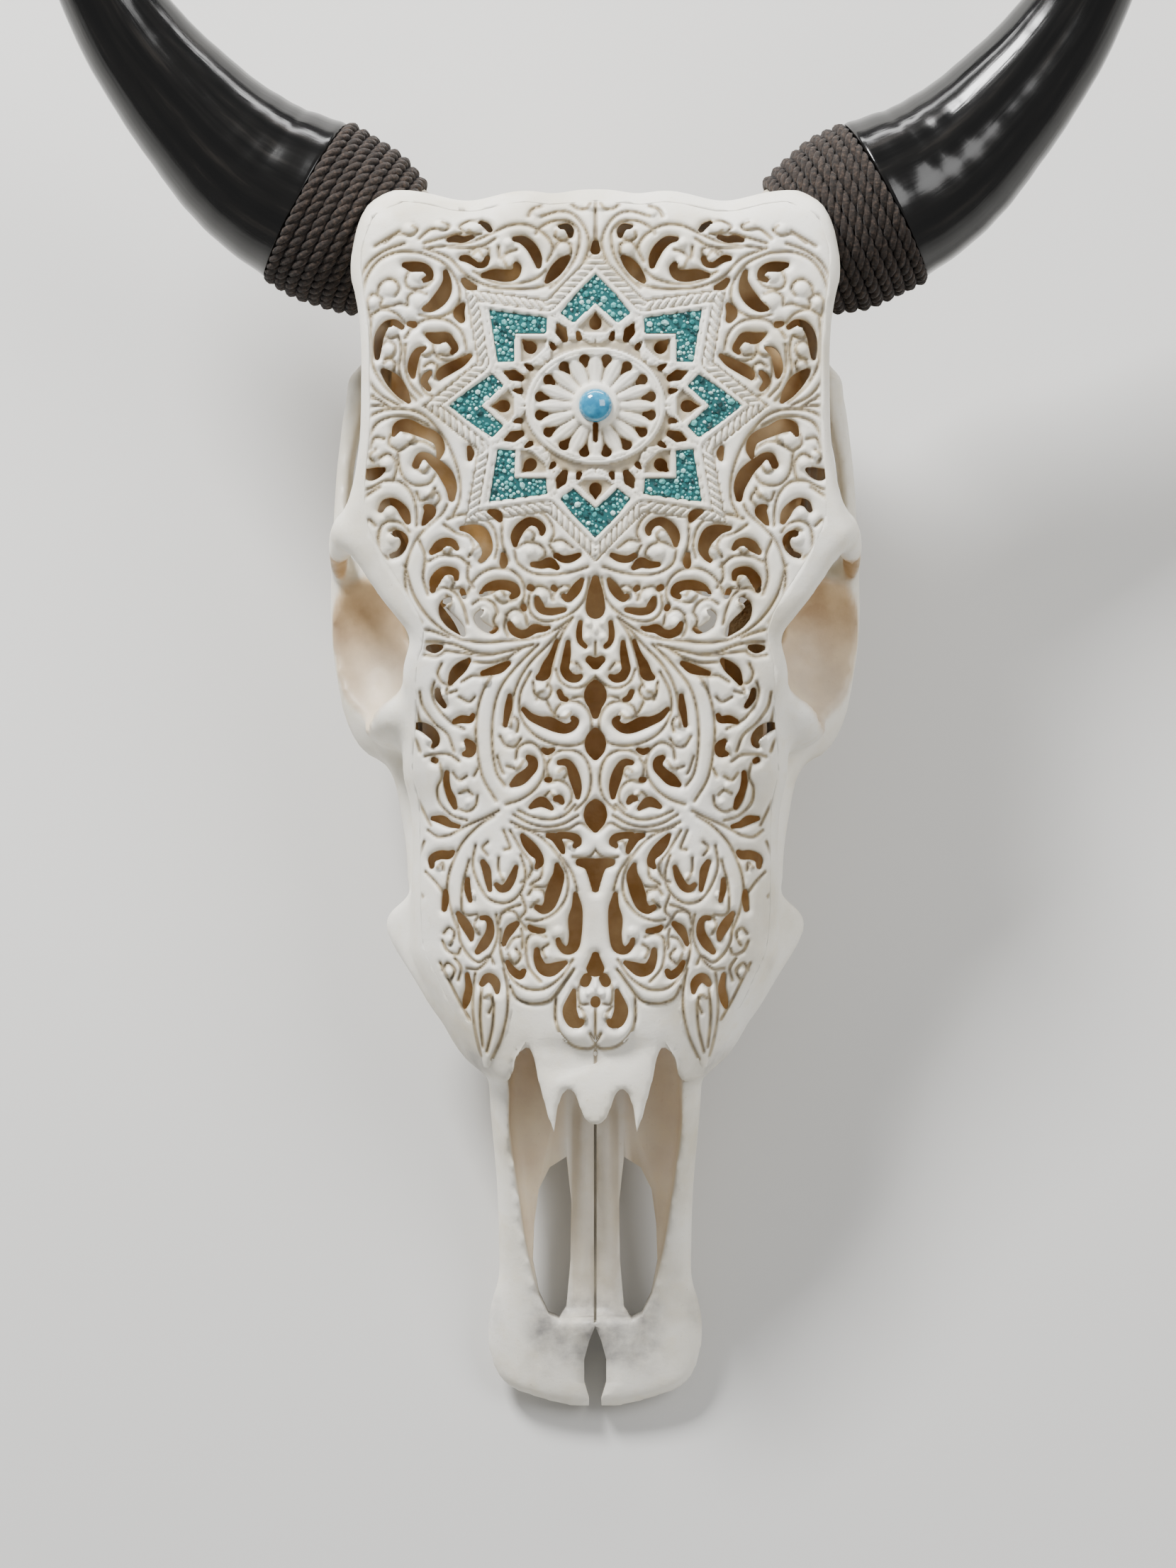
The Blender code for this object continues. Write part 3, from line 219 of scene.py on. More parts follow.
# Openings cut right through the left half of the carving: points (x, y, half width) along each
OPENINGS = (
    # Brow scrolls
    ((-78, 218.5, .5), (-74.5, 217.7, 1.6), (-71, 217.5, 1.4), (-68.3, 216, 1.0), (-67.8, 213.5, .8),
     (-70, 212.3, .4)),
    ((-61.5, 215.5, .4), (-60.8, 212, 1.1), (-61.6, 208, 2.1), (-63.8, 204.5, 2.3), (-67, 201.6, 1.6),
     (-70, 200.6, .4)),
    ((-60, 228.7, .5), (-57, 229.5, 1.3), (-54.5, 229, 1.0), (-51, 230.2, .5)),
    ((-55, 221, .4), (-53, 221, .9), (-50.5, 219.6, .6), (-48, 218.2, .5), (-45.5, 219, .6),
     (-44.6, 221, .5)),
    ((-46, 214.2, .5), (-42, 214.5, 1.6), (-37.5, 214, 1.9), (-34, 214.5, 1.6), (-32.3, 217, 1.0),
     (-33, 218.6, .5)),
    ((-33.5, 229, .4), (-30, 228.4, 1.2), (-26.7, 225.5, 1.5), (-24.5, 221.5, 1.4), (-23.8, 218, .5)),
    ((-12, 221.5, .4), (-14.5, 219, 1.7), (-17, 216, 1.9), (-19.3, 213.2, 1.1), (-20.5, 211.7, .3)),
    ((-15, 234.5, .5), (-12.5, 234.3, .9), (-11.2, 232.5, 1.0), (-11, 230.4, .4)),
    ((-54, 212, .6), (-52, 210, 1.1), (-49.6, 209.2, .4)),
    ((-54.5, 202, .5), (-56, 199, 1.7), (-55, 196.4, 1.0)),
    ((-47.3, 238.2, .4), (-45, 236, .8), (-43.5, 233.4, .5)),
    # Outer column beside the star
    ((-79, 193.3, .5), (-82, 195, .8), (-85.5, 194, 1.0), (-88, 190, 1.3), (-88.8, 185, 1.1),
     (-89, 181, .4)),
    ((-86.5, 175.5, .5), (-84.5, 173.5, 1.6), (-82, 171, 2.4), (-79, 167, 1.9), (-76.3, 163.3, .4)),
    ((-94, 195, .3), (-94, 191.5, .7), (-93.6, 188, .3)),
    ((-76, 194.6, .5), (-74.2, 194.2, .8)),
    ((-68.5, 190, .5), (-65, 188.7, 1.8), (-61, 189.2, 1.3), (-58.8, 187, .9), (-57.5, 184.6, .8),
     (-58.6, 183, .4)),
    ((-70, 184.4, .4), (-72.3, 183.4, .9), (-74, 180.5, 1.3), (-74.8, 176.5, 1.3), (-74.5, 173.3, .4)),
    ((-51.5, 181.6, .3), (-55, 179, 1.3), (-60, 176.4, 1.7), (-63, 174.5, 1.5), (-63.9, 172.8, .5)),
    ((-67.7, 174.6, .5), (-69.4, 172.9, .9), (-69.9, 170.8, .8), (-68, 168.2, .4)),
    # Below the left point of the star
    ((-82, 150, .5), (-80.5, 153, 1.5), (-76.5, 153.4, 2.1), (-71.5, 151.2, 1.7), (-67.5, 149.6, 1.7),
     (-64.5, 147.5, 1.5), (-63.4, 144, 1.2), (-64, 141, .4)),
    ((-73.3, 137.6, 1.0), (-71.6, 140.8, 1.0), (-69, 141, .9), (-66.3, 138.8, 1.4), (-63.5, 136.4, 1.8),
     (-60.8, 133, 2.2), (-59, 128.5, 1.7), (-58.9, 124, .7)),
    ((-95, 135, .4), (-92, 133.8, 1.8), (-89, 134.6, 1.5), (-86.5, 135.7, .3)),
    ((-51.8, 144.5, .3), (-51.2, 142.2, .9), (-51.6, 140, .3)),
    ((-87.5, 119.5, .5), (-86, 122, .9), (-83, 122.8, .9), (-80, 121, 1.1), (-77.8, 118, 1.4),
     (-76.6, 114.8, .6)),
    ((-69.3, 120.6, .5), (-67.6, 119, 1.8), (-69, 116, 1.1), (-70.3, 113.8, .3)),
    ((-81.5, 110, .8), (-79.5, 109.5, .7), (-78, 107.3, 1.0), (-78.6, 104.4, .8), (-80.6, 102, .6),
     (-83, 101, .4)),
    # Scrolls between the star and the root of the nose
    ((-43.5, 118.7, .4), (-40.6, 117.5, 1.3), (-39.4, 115.5, .5)),
    ((-22.5, 110, .4), (-22.4, 111.8, .9), (-24.2, 114, .9), (-27.5, 114.8, 1.2), (-31, 112.4, 1.5),
     (-33, 109, 1.5), (-33.3, 105.4, .4)),
    ((-55, 112, .3), (-51, 111.6, 1.4), (-47.6, 110, 2.4), (-45.4, 107, 2.1), (-44.5, 103.5, 1.5),
     (-45.6, 100.6, .8), (-47.2, 99.1, .4)),
    ((-66.8, 102.6, .7), (-64.3, 104.8, 1.6), (-61.5, 106.5, 1.2), (-58.5, 106, .9), (-56.8, 104, .4)),
    ((-66.5, 87.3, .7), (-65.6, 91, 1.7), (-63, 94.3, 1.4), (-60, 95, 1.0), (-57.4, 94, .8),
     (-57, 91.8, .4)),
    ((-54.7, 86.8, .5), (-53.8, 84.6, .4)),
    ((-59.8, 83.3, .4), (-62, 82, .7), (-62.8, 80, .8), (-61.5, 77, 1.6), (-58.8, 74, 1.9),
     (-56, 71.5, 1.4), (-54.2, 69.3, .3)),
    ((-46.5, 85.8, .7), (-44, 87.5, 1.7), (-41, 89, 1.5), (-37, 89.1, 1.4), (-34, 88, 1.4),
     (-32.8, 85.8, 1.0), (-34.7, 84.4, .4)),
    ((-47, 78.2, .4), (-48.6, 76.5, .6), (-47.8, 74, .7), (-45.5, 72, .9), (-42.5, 70.7, .6),
     (-41, 71.6, .3)),
    ((-35.5, 73.5, .4), (-34, 70.8, 1.0), (-31, 69.3, 1.1), (-28, 69.9, 1.1), (-25.5, 71.5, 1.3),
     (-22, 71.4, .6), (-19.8, 71.8, .2)),
    ((-38.2, 101.6, .3), (-37.9, 98.6, 1.1), (-38, 97.2, .8)),
    ((-26.3, 97.5, .4), (-22.6, 97.4, 1.0), (-19.3, 98.2, 1.5), (-16.4, 96.2, .5)),
    ((-16.7, 101, .6), (-14, 99.6, .8), (-10.6, 99.9, .9), (-7.6, 101.2, .4)),
    ((-24.5, 83.7, .4), (-23.6, 81, 1.2), (-22.3, 79, .9), (-19, 78.4, .9), (-15.6, 78.8, .7),
     (-13.4, 79.2, .3)),
    ((-6.4, 91.2, .3), (-8, 88.6, 1.3), (-9.8, 86, 1.4), (-12, 83.8, .9), (-13.6, 84.6, .5)),
    ((-27.4, 88.2, .7), (-26.6, 87.8, .6)), ((-17.8, 88, .6), (-17.2, 87.6, .5)),
    ((-30, 80.2, .6), (-29.6, 79.6, .5)),
    # Root of the nose
    ((-12, 66, .3), (-12.3, 62, .9), (-12.9, 58, 1.1), (-13.3, 55, 1.2), (-11.5, 52.2, 1.3),
     (-9, 51.4, 1.0), (-7, 52.2, .4)),
    ((-16.5, 66.5, .2), (-18.5, 61, .6), (-20.5, 56.5, 1.4), (-21.6, 53, 1.7), (-24, 51.8, .5)),
    ((-7, 74, .3), (-7.5, 70, .6), (-7, 66.5, .5), (-5, 64.4, .3)),
    ((-15.5, 46, .5), (-14.3, 43.6, .6), (-12.6, 42.9, .3)),
    ((-30, 39, .3), (-27, 36, .9), (-23, 34.2, 1.3), (-19.5, 33.4, 2.0), (-16.3, 32, 1.8), (-13, 31.2, 1.4),
     (-10.3, 32.3, 1.1), (-9, 34.1, .9), (-10, 35.4, .4)),
    ((-22, 22.7, .3), (-20.3, 21.8, .7), (-18, 22.7, .2)),
    ((-28, 19.5, .5), (-26.3, 18, 1.3), (-26.3, 15.5, 1.4), (-28.5, 13, 1.5), (-31.5, 10.6, 1.8),
     (-34.6, 8.6, .5)),
    ((-15.5, 17.5, .4), (-13, 17.6, .8), (-11, 16, 1.0), (-9.5, 12, 1.6), (-8.3, 7.5, 1.3), (-8, 3.6, .4)),
    ((-27, -.4, .3), (-24, 1.3, 1.3), (-21.8, 1.4, 1.4), (-18.6, -1, .3)),
    ((-17, 2.9, .5), (-15.5, 2.9, .9), (-14.3, 1.5, .4)), ((-20.6, 10.6, .4), (-19.4, 10.6, .5)),
    # Bridge of the nose
    ((-20, -12, .4), (-17, -13, 1.2), (-14.9, -16.4, .9), (-14, -18.6, .3)),
    ((-15.5, -11.9, .8), (-12, -12, .8), (-9, -12.9, 1.0), (-7.9, -14.7, .9), (-9.2, -16.1, .4)),
    ((-30.5, -12, .3), (-28.5, -15, 1.4), (-26, -18, 1.7), (-23.8, -20.5, 1.1), (-23.4, -23, 1.0),
     (-24.6, -24.6, .4)),
    ((-16.5, -23.8, .3), (-15.8, -28, 1.7), (-17, -32, 2.3), (-18.3, -36, 2.4), (-19.6, -40, 1.8),
     (-22, -42, 1.1), (-24.6, -41, .5)),
    ((-9, -35.6, .3), (-8.4, -41, 1.5), (-9, -46, 2.3), (-9, -52, 1.9), (-10, -57, 1.7), (-13, -58.4, 1.0),
     (-15.3, -56.2, .6), (-16, -54, .3)),
    ((-24.6, -58.4, .5), (-24.3, -61.6, 1.0), (-22.5, -65.5, 1.6), (-19.3, -66.4, 2.1), (-16, -65, 1.4),
     (-13, -63.4, .3)),
    ((-32.8, -47.8, .6), (-35.3, -50, 1.3), (-37, -53, .8), (-38, -56, .3)),
    ((-27.5, -49, .3), (-26, -50, .7), (-22, -50.6, .3)),
    ((-36.5, -63.4, .4), (-34.5, -66.6, .9), (-31.5, -68.6, 1.1), (-30, -67, .6)),
    ((-33, -24.8, .3), (-34.5, -29, 1.0), (-36.6, -32.6, 1.1), (-39, -33.6, .9), (-41, -32, .4)),
    ((-46.5, -22.8, .5), (-45, -26, 1.1), (-44.3, -30, .8), (-43.6, -34, .3)),
    ((-47, -45.4, .3), (-44.8, -45.6, .5), (-43.5, -48, .8), (-43.8, -52, 1.3), (-46, -56, 1.5),
     (-48.6, -59.1, .7)),
    ((-56.6, -43.8, .4), (-54.5, -47, 1.3), (-52, -51, 1.3), (-51.2, -54.2, .3)),
    ((-52.8, -30, .4), (-52.7, -34, .7), (-51.6, -38.4, .3)),
    ((-46.8, -72.2, .7), (-45, -70, 1.3), (-43, -70.1, 1.3), (-41.2, -72.2, 1.2), (-40.7, -75.4, .4)),
    ((-53, -68.6, .3), (-52.3, -74, .9), (-53.3, -79, 1.1), (-54, -81.8, .3)),
    ((-61.8, -34.8, .3), (-61.8, -38, .8), (-62.3, -42, .5)),
    ((-9.6, -74.8, .3), (-10.6, -79, 1.5), (-11.3, -83, 2.3), (-9.8, -87, 2.1), (-7.3, -88, 1.0),
     (-6.3, -86.8, .3)),
    # Flank beside the nose
    ((-76, 32.6, .3), (-71.5, 32.1, 1.2), (-68.3, 30.4, 1.6), (-66, 28, 1.3), (-65.5, 25.6, .8),
     (-66.6, 24.3, .3)),
    ((-53, 26.2, .4), (-51.3, 24, 1.5), (-51.6, 21.6, 1.3), (-54, 21, .3)),
    ((-58, 34, .3), (-55, 35, 1.0), (-51.6, 34.9, .8), (-50.4, 36.6, .3)),
    ((-64.8, 46.6, .5), (-64.2, 43.6, .8), (-62, 40.4, .4)),
    ((-59.5, 49.8, .5), (-57.5, 53.5, 1.7), (-55, 56, 1.7), (-52.2, 58.6, .5)),
    ((-46.5, 53.5, .4), (-43, 54.4, 1.0), (-39.5, 55.5, 1.3), (-36, 57.6, .4)),
    ((-35.5, 44.4, .3), (-36, 40, .9), (-36.8, 36, .6), (-37.2, 32.6, .3)),
    ((-68.5, 63.8, .4), (-66, 63.5, 1.2), (-63.4, 64.1, .4)),
    ((-61.1, 13.4, .4), (-61.3, 10, .7), (-60.5, 6, .7), (-59, 2.5, 1.0), (-57.8, -.6, .4)),
    ((-67, -5.2, .3), (-63, -5.8, 1.2), (-60, -7.5, .7), (-56.4, -8.4, .2)),
    ((-67.5, -24.6, .5), (-67.3, -21.6, 1.0), (-64, -20, 1.2), (-60.6, -20, 1.1), (-58.8, -18.8, .3)),
    ((-66.4, 18.6, .6), (-65.6, 18.2, .5)),
)
# Openings on the midline
MIDLINE_OPENINGS = (
    ((0, 227, .3), (0, 224.6, .9)),
    ((0, 91.6, .3), (0, 86, 1.9), (0, 80, 2.8), (0, 78.4, 1.4)), ((-2.4, 59, .4), (0, 57.4, 1.2)),
    ((0, 49.4, .4), (0, 45, 3.4), (0, 41, 1.8), (0, 36.6, .3)), ((0, 30, .5), (0, 25, 3.2), (0, 20, .4)),
    ((0, .8, .8), (0, -3.6, 3.6), (0, -9.4, .3)),
    ((-6.4, -22.8, .4), (-2.6, -23.6, 1.3), (0, -26, 2.4), (0, -33.5, .3)),
    ((0, -60.6, .4), (0, -65.4, 2.5)), ((-3.4, -69.6, .8), (-4.2, -71.2, .9)),
    ((0, -79.4, .9), (0, -78.8, .8)),
    ((0, 153.6, 0), (0, 147.4, -.3)), ((0, -100.6, -.4), (0, -100.2, -.4)),
)
# Lines cut between the straps, left half: points along each
CREASES = (
    ((-97, 203), (-96.5, 211), (-92.5, 219), (-86, 224), (-78, 227)),
    ((-95, 207), (-93, 214), (-88, 220.5), (-80, 223.6), (-71, 223)),
    ((-71, 223), (-63, 219.5), (-58, 214), (-55.4, 207), (-57.4, 200.6), (-64, 197), (-72, 198)),
    ((-88.8, 207), (-88, 210), (-84.6, 212.4), (-81.4, 211.4), (-80, 208.6), (-81.6, 206)),
    ((-93.6, 203.6), (-90.4, 206.6), (-87, 204.6)),
    ((-87, 204.6), (-87.4, 201.4), (-83, 201.6), (-80, 202.6), (-76.6, 201.8)),
    ((-76.6, 201.8), (-76.4, 205.4), (-73, 207.6), (-69, 206.4)),
    ((-76, 216.4), (-77.6, 211.4), (-75, 208.4), (-69.4, 209.4), (-66.6, 212.4)),
    ((-90, 226), (-84, 229.6), (-80, 232)),
    ((-86, 227.4), (-81, 231), (-75.6, 230.4), (-72.8, 232.6), (-74.6, 234.4)),
    ((-72, 229), (-67, 233.4), (-61.4, 233.4), (-60, 236), (-62.6, 237.4)),
    ((-70, 227), (-62, 229.6), (-54, 232.4), (-47, 231.4)),
    ((-54, 232.4), (-55.6, 236), (-52, 239.4), (-47.4, 238.4)), ((-52, 234), (-50, 231.6), (-48, 231.4)),
    ((-68, 225), (-58, 226.4), (-50, 228), (-43, 231.4), (-36, 234.6), (-28, 234.6), (-21, 230.4),
     (-18, 225), (-20.4, 219.6)),
    ((-60, 225.4), (-52, 225), (-46, 226), (-41.4, 229)),
    ((-50, 215.6), (-42, 211.4), (-33, 210.6), (-25, 212.6), (-21, 216)),
    ((-70, 225), (-60, 221), (-53, 214), (-44, 209.6), (-34, 208.4), (-25, 208.8), (-18, 211)),
    ((-40, 225.6), (-39.4, 221), (-36, 223.4), (-32.6, 224.4)), ((-38, 220.4), (-36, 216.8), (-33, 218.6)),
    ((-44.6, 221), (-44, 224.4), (-48, 225.6), (-51.6, 223.6)), ((-50.2, 222.6), (-48, 224), (-46.4, 222)),
    ((-25, 231), (-22.6, 234.2), (-17.6, 237), (-11.6, 236.4), (-7.6, 232), (-7.6, 226), (-9.6, 220),
     (-14.6, 213), (-19, 209)),
    ((-17, 232), (-17, 229.4), (-13.6, 228), (-11, 230.4)),
    ((-18, 224.4), (-15, 227.8), (-11.2, 226.6), (-10.6, 223)),
    ((-28, 238.6), (-26.6, 241.4), (-22.6, 243.8)),
    ((-22.6, 239), (-16, 241.4), (-10, 239.4), (-5, 233), (-3.4, 226), (-6, 218.4)),
    ((-3, 243.6), (-4.6, 241.4), (-8, 241.6), (-10.6, 244)), ((0, 223.6), (-2.4, 220.4), (-4, 217)),
    ((0, 240), (-1.2, 232), (-.8, 227)),
    ((-92, 197), (-93, 203)), ((-95.6, 200), (-95.8, 186), (-94, 175), (-88, 166), (-80, 161.4)),
    ((-91.4, 198), (-91.8, 186), (-90.4, 177), (-86, 169.6), (-78.6, 162.6)),
    ((-91.4, 198), (-87, 200.4), (-81.4, 198.6), (-77.4, 194.6)),
    ((-84.6, 193.6), (-86.2, 190.4), (-84, 188.4), (-80.6, 189.6)),
    ((-86.6, 186.4), (-84.6, 187.6), (-81.6, 185.4), (-82.6, 181.6), (-86, 180)),
    ((-86.2, 178.6), (-84, 180), (-81.6, 178.4), (-82.4, 175.4)),
    ((-80.4, 189.4), (-79, 184), (-80, 176), (-77.6, 168.6), (-73.4, 163.4)),
    ((-77.6, 188.6), (-74, 193.6), (-67.6, 196.4), (-60, 195.4), (-54.6, 190.6), (-52.8, 184)),
    ((-77.4, 186), (-77.8, 178), (-75.4, 170), (-71, 165)),
    ((-70, 190.8), (-66.6, 187.4), (-66.2, 183.4), (-69.6, 181.4), (-72, 183.4)),
    ((-64, 187), (-61, 187.4), (-58.6, 184.4), (-60.4, 181.6), (-64, 182)),
    ((-72, 180), (-72, 174), (-70, 167.4), (-66.4, 165)),
    ((-70, 177), (-67, 178.8), (-64.4, 176.4), (-65.6, 172.4)),
    ((-66.2, 183.4), (-63.6, 180), (-58, 179.6), (-53.4, 182)),
    ((-96, 170), (-94.6, 166), (-90.4, 165.4)), ((-95, 157), (-93.6, 160.6), (-89, 161.4), (-84.6, 161)),
    ((-93, 165), (-88.6, 163.8), (-84, 160.6)),
    ((-98, 146), (-95, 154), (-88.6, 158.8), (-80, 160), (-72, 158.4), (-66, 153.6), (-60, 145), (-56, 134),
     (-55.6, 124), (-58.4, 117)),
    ((-92.6, 148), (-89, 154.4), (-82, 157), (-75, 156.6), (-68, 153.4)),
    ((-83.4, 149.6), (-84.2, 146), (-81, 143.4)),
    ((-92, 144), (-90, 148.4), (-86, 148)), ((-78, 150.6), (-75.4, 150.8), (-74, 148.4), (-75.4, 146.4)),
    ((-88, 140.4), (-84.6, 142), (-81.6, 139.4), (-81, 135.4), (-82.6, 131)),
    ((-90.6, 138.4), (-92, 141.4), (-89.6, 143.6)),
    ((-80.6, 142.6), (-79.8, 136), (-77.6, 131.6), (-73.6, 129.2), (-68, 130), (-65, 134)),
    ((-80.6, 142.6), (-76, 145.8), (-70.6, 147), (-65.6, 144)),
    ((-73.4, 136.4), (-70, 134.4), (-68, 137)),
    ((-99, 126.6), (-92, 128), (-86, 131), (-79.6, 130.6), (-75, 126), (-73.2, 120), (-73, 113)),
    ((-95, 124), (-88, 128.6)), ((-73, 126.4), (-71.4, 123), (-68.4, 124.4), (-65.6, 128)),
    ((-65.8, 121), (-63.6, 123.6), (-65, 126.4), (-67, 124.6)),
    ((-60.6, 121.6), (-63, 117.4), (-68.6, 112.6), (-74, 106), (-77, 98), (-77.6, 90), (-76, 82),
     (-71, 74)),
    ((-94, 112.6), (-92.4, 115.4), (-89.6, 113)),
    ((-88.6, 108), (-87.4, 112.6), (-83.6, 115), (-78.6, 113.6), (-76, 110.4)),
    ((-88.6, 108), (-88, 102.6), (-84.6, 99.8)), ((-84, 111), (-82, 111.8), (-80.4, 110.6)),
    ((-72, 107), (-69.6, 100.6), (-70.4, 92), (-68.4, 85.4)),
    ((-77.8, 97), (-74.6, 86), (-69.4, 77.4), (-62.6, 71), (-55, 67)),
    ((-62, 113.4), (-57, 110), (-51.6, 108.4), (-50, 104), (-52, 100.4)),
    ((-60.6, 115.6), (-55, 117.4), (-48, 117), (-42.4, 112.6), (-40.4, 106), (-41.4, 100)),
    ((-63.6, 103.6), (-60.6, 101.6), (-58.6, 104)),
    ((-68.6, 98.4), (-63, 101), (-56, 100.4), (-51.4, 96.4)),
    ((-50, 103.4), (-47, 105), (-46, 102.6)), ((-52, 98), (-52.4, 92), (-50, 88)),
    ((-60, 92.8), (-58, 90.4), (-59, 87.6), (-55.6, 88)),
    ((-66.6, 86.4), (-62, 88), (-57, 85.4), (-54, 80), (-52.4, 73.4)),
    ((-61, 84.8), (-59, 82.4), (-60.4, 79.6)),
    ((-38.6, 114), (-38.4, 106), (-36, 99)),
    ((-36.4, 117), (-31, 120), (-24.6, 119.4), (-19.4, 115), (-17.6, 110), (-19, 106.6)),
    ((-30.6, 110), (-28, 111.4), (-25.6, 109.6), (-26.4, 107)),
    ((-33, 104), (-28, 106.4), (-23, 105), (-21, 101.6), (-23.4, 99)),
    ((-33.6, 103), (-32, 97.6), (-26, 93.8), (-18, 93.2), (-10, 94.4), (-4, 96.4)),
    ((-19.4, 105), (-17.6, 102)), ((-18.6, 106.4), (-14.4, 107.2), (-10, 104)),
    ((-52.6, 86), (-49, 92), (-43, 95.6), (-36, 95.4), (-31, 91.6), (-29.4, 86), (-31, 80)),
    ((-42, 86.8), (-39.4, 87.4), (-37.4, 85)),
    ((-50.4, 81.4), (-46.4, 83.6), (-42, 81.6), (-40.4, 78)), ((-41.6, 84.6), (-38.4, 82), (-33, 83.4)),
    ((-40.4, 78), (-42, 74.6), (-40.4, 71)),
    ((-37, 77), (-33.6, 79.4), (-29.6, 77.6), (-28.4, 73.4)), ((-36.6, 77), (-37.6, 72), (-36, 68.4)),
    ((-27, 86), (-24, 88.6), (-19.6, 87), (-18, 83)),
    ((-27.6, 85), (-27.6, 79), (-24, 75), (-18, 74.6), (-10, 78), (-5, 84), (-3.4, 92)),
    ((-18.6, 84), (-15.6, 88), (-11.6, 88.6), (-10.4, 86)),
    ((-14.6, 86), (-12, 86.8), (-11.4, 84.6)),
    ((-55, 67), (-46, 65.8), (-36, 66.6), (-26, 67.6), (-18, 70.4), (-10, 76)),
    ((-76, 67.6), (-72, 70.4), (-68, 70.8), (-60, 68)),
    ((-72, 66), (-66, 66.4), (-58, 65), (-50, 62), (-42, 61)),
    ((-62, 62.6), (-54, 61.6), (-46, 60.6), (-36, 62.4), (-26, 65)), ((-50, 58), (-43, 57.8), (-36, 60)),
    ((-70, 61), (-65, 60.4), (-62, 62)),
    ((-14, 72), (-20, 65), (-27, 58), (-32, 50), (-34.6, 41), (-35, 32)),
    ((-10, 76), (-14, 70), (-17, 62), (-19, 53), (-20.4, 48)),
    ((-24, 65), (-32, 57), (-39, 48), (-42, 38), (-42.6, 26), (-41, 14), (-37.4, 8)),
    ((-30, 64), (-38, 58), (-45, 49), (-48.6, 38), (-49, 26), (-46.6, 12), (-41, 2)),
    ((-55, 50), (-50, 52.6), (-44, 52)), ((-63, 57.4), (-64.6, 53.4), (-62.6, 49.6), (-59, 49)),
    ((-66, 50), (-67, 46), (-65, 40), (-60, 34.4), (-54, 31)),
    ((-60, 49), (-61, 45.6), (-57, 46.4)), ((-56, 44), (-52, 42), (-49.6, 44)),
    ((-72, 46), (-70.6, 40), (-66, 33.4), (-60.6, 28.6), (-58, 22)),
    ((-26, 50), (-25, 44.6), (-21, 43), (-18.6, 46.4), (-20.4, 50)),
    ((-22, 46.4), (-24, 45.4), (-24.4, 43)), ((-20.4, 42), (-17.6, 37), (-13.6, 35.4), (-11, 37.4)),
    ((-17, 55), (-14.4, 49.6), (-9, 47.4), (-3.6, 49.4), (0, 53)), ((-11.6, 58), (-8.6, 57.4), (-6.6, 55)),
    ((-10, 43.6), (-5, 44), (-2, 40)),
    ((-17.6, 36), (-16, 40), (-11, 42.4), (-5.6, 40.4), (-2.6, 35.6), (-3, 29), (-7, 25), (-14, 24.2),
     (-22, 26.4), (-28, 31), (-31.4, 38), (-31, 46), (-27, 54)),
    ((-38, 33), (-35, 36), (-32, 34), (-32.6, 30)), ((-39.4, 28), (-37, 24.4), (-33.4, 24), (-31, 27)),
    ((-40.6, 20), (-39, 15), (-38, 13)),
    ((-33, 19), (-32, 23.4), (-27.6, 25.6), (-23.4, 23), (-21.4, 18), (-22, 12), (-25.6, 6.4), (-31, 2.6),
     (-37, .6)),
    ((-30, 18), (-32.4, 15), (-36.6, 16)),
    ((-19.6, 20), (-14, 22.4), (-8, 21.6), (-4, 17.4), (-2.6, 10), (-4.4, 3), (-9, -1.8)),
    ((-20, 12), (-20.6, 16), (-19, 19)), ((-15.6, 14), (-13.4, 15.4), (-12, 13.4), (-13.6, 11.4)),
    ((-20, 9.4), (-15, 10.2), (-11, 7), (-10.4, 2.4), (-13, -1.4)),
    ((-21.4, 4), (-19.4, 5.6), (-17.6, 4)), ((-32, -2), (-26, -4.6), (-19, -5.6), (-13, -3.6), (-9, .4)),
    ((-34, -3.6), (-28, -7), (-21, -8.6), (-14, -7.4), (-8, -4)),
    ((-35, -6.6), (-28, -9.6), (-20, -10.4), (-12, -9.4), (-7, -7), (-2.6, -9.6)),
    ((-14, -18), (-12.6, -14.6), (-10, -14)), ((-10, -20.6), (-4, -20.8), (0, -17)),
    ((-33, -8.4), (-24, -12), (-17, -18.6), (-12.6, -27), (-12.4, -36), (-17, -43), (-24, -46.4),
     (-29, -46)), ((-15, -20), (-10.4, -27), (-8.2, -34)),
    ((-35.4, -10), (-30, -19), (-26.4, -24), (-28, -29), (-31, -31)),
    ((-22.4, -24), (-23, -29), (-27, -32), (-21, -32.6), (-17.6, -28)),
    ((-28, -36), (-26, -33.6), (-22, -34.6), (-20.4, -38)), ((-27, -41), (-24, -38)),
    ((-31, -36), (-29, -42), (-31, -45)),
    ((-49.4, -16), (-50.6, -24), (-48, -32), (-43.6, -38), (-37, -39.4), (-31.4, -35.4), (-29, -28),
     (-31, -20)), ((-38, -30), (-40, -26), (-40, -21)),
    ((-38, -10), (-36.6, -13.4), (-35.4, -17), (-37.6, -17.8)),
    ((-44.4, -14.6), (-46.6, -17), (-44.6, -20)), ((-42, -4), (-48, -8), (-54, -14), (-57.6, -20)),
    ((-40, -2), (-46, -5), (-54, -8.6), (-60, -12)),
    ((-57.6, -20), (-60.4, -28), (-61, -36), (-59, -44), (-56, -52)),
    ((-52, -22), (-54.6, -32), (-55, -42), (-52.6, -44.4), (-49, -44)),
    ((-39, -43.6), (-36, -41.6), (-31, -40)),
    ((-41, -44), (-40.4, -52), (-43, -60), (-48, -66), (-53, -66)),
    ((-56.4, -46), (-56, -54), (-53, -60), (-48.4, -63.6), (-44, -61), (-42, -64)),
    ((-48.4, -45), (-50, -48.4), (-48, -52)),
    ((-40, -48), (-38.6, -43.6), (-34, -42.8), (-31, -47), (-29, -50)),
    ((-37, -58), (-34.4, -54), (-31.6, -53)),
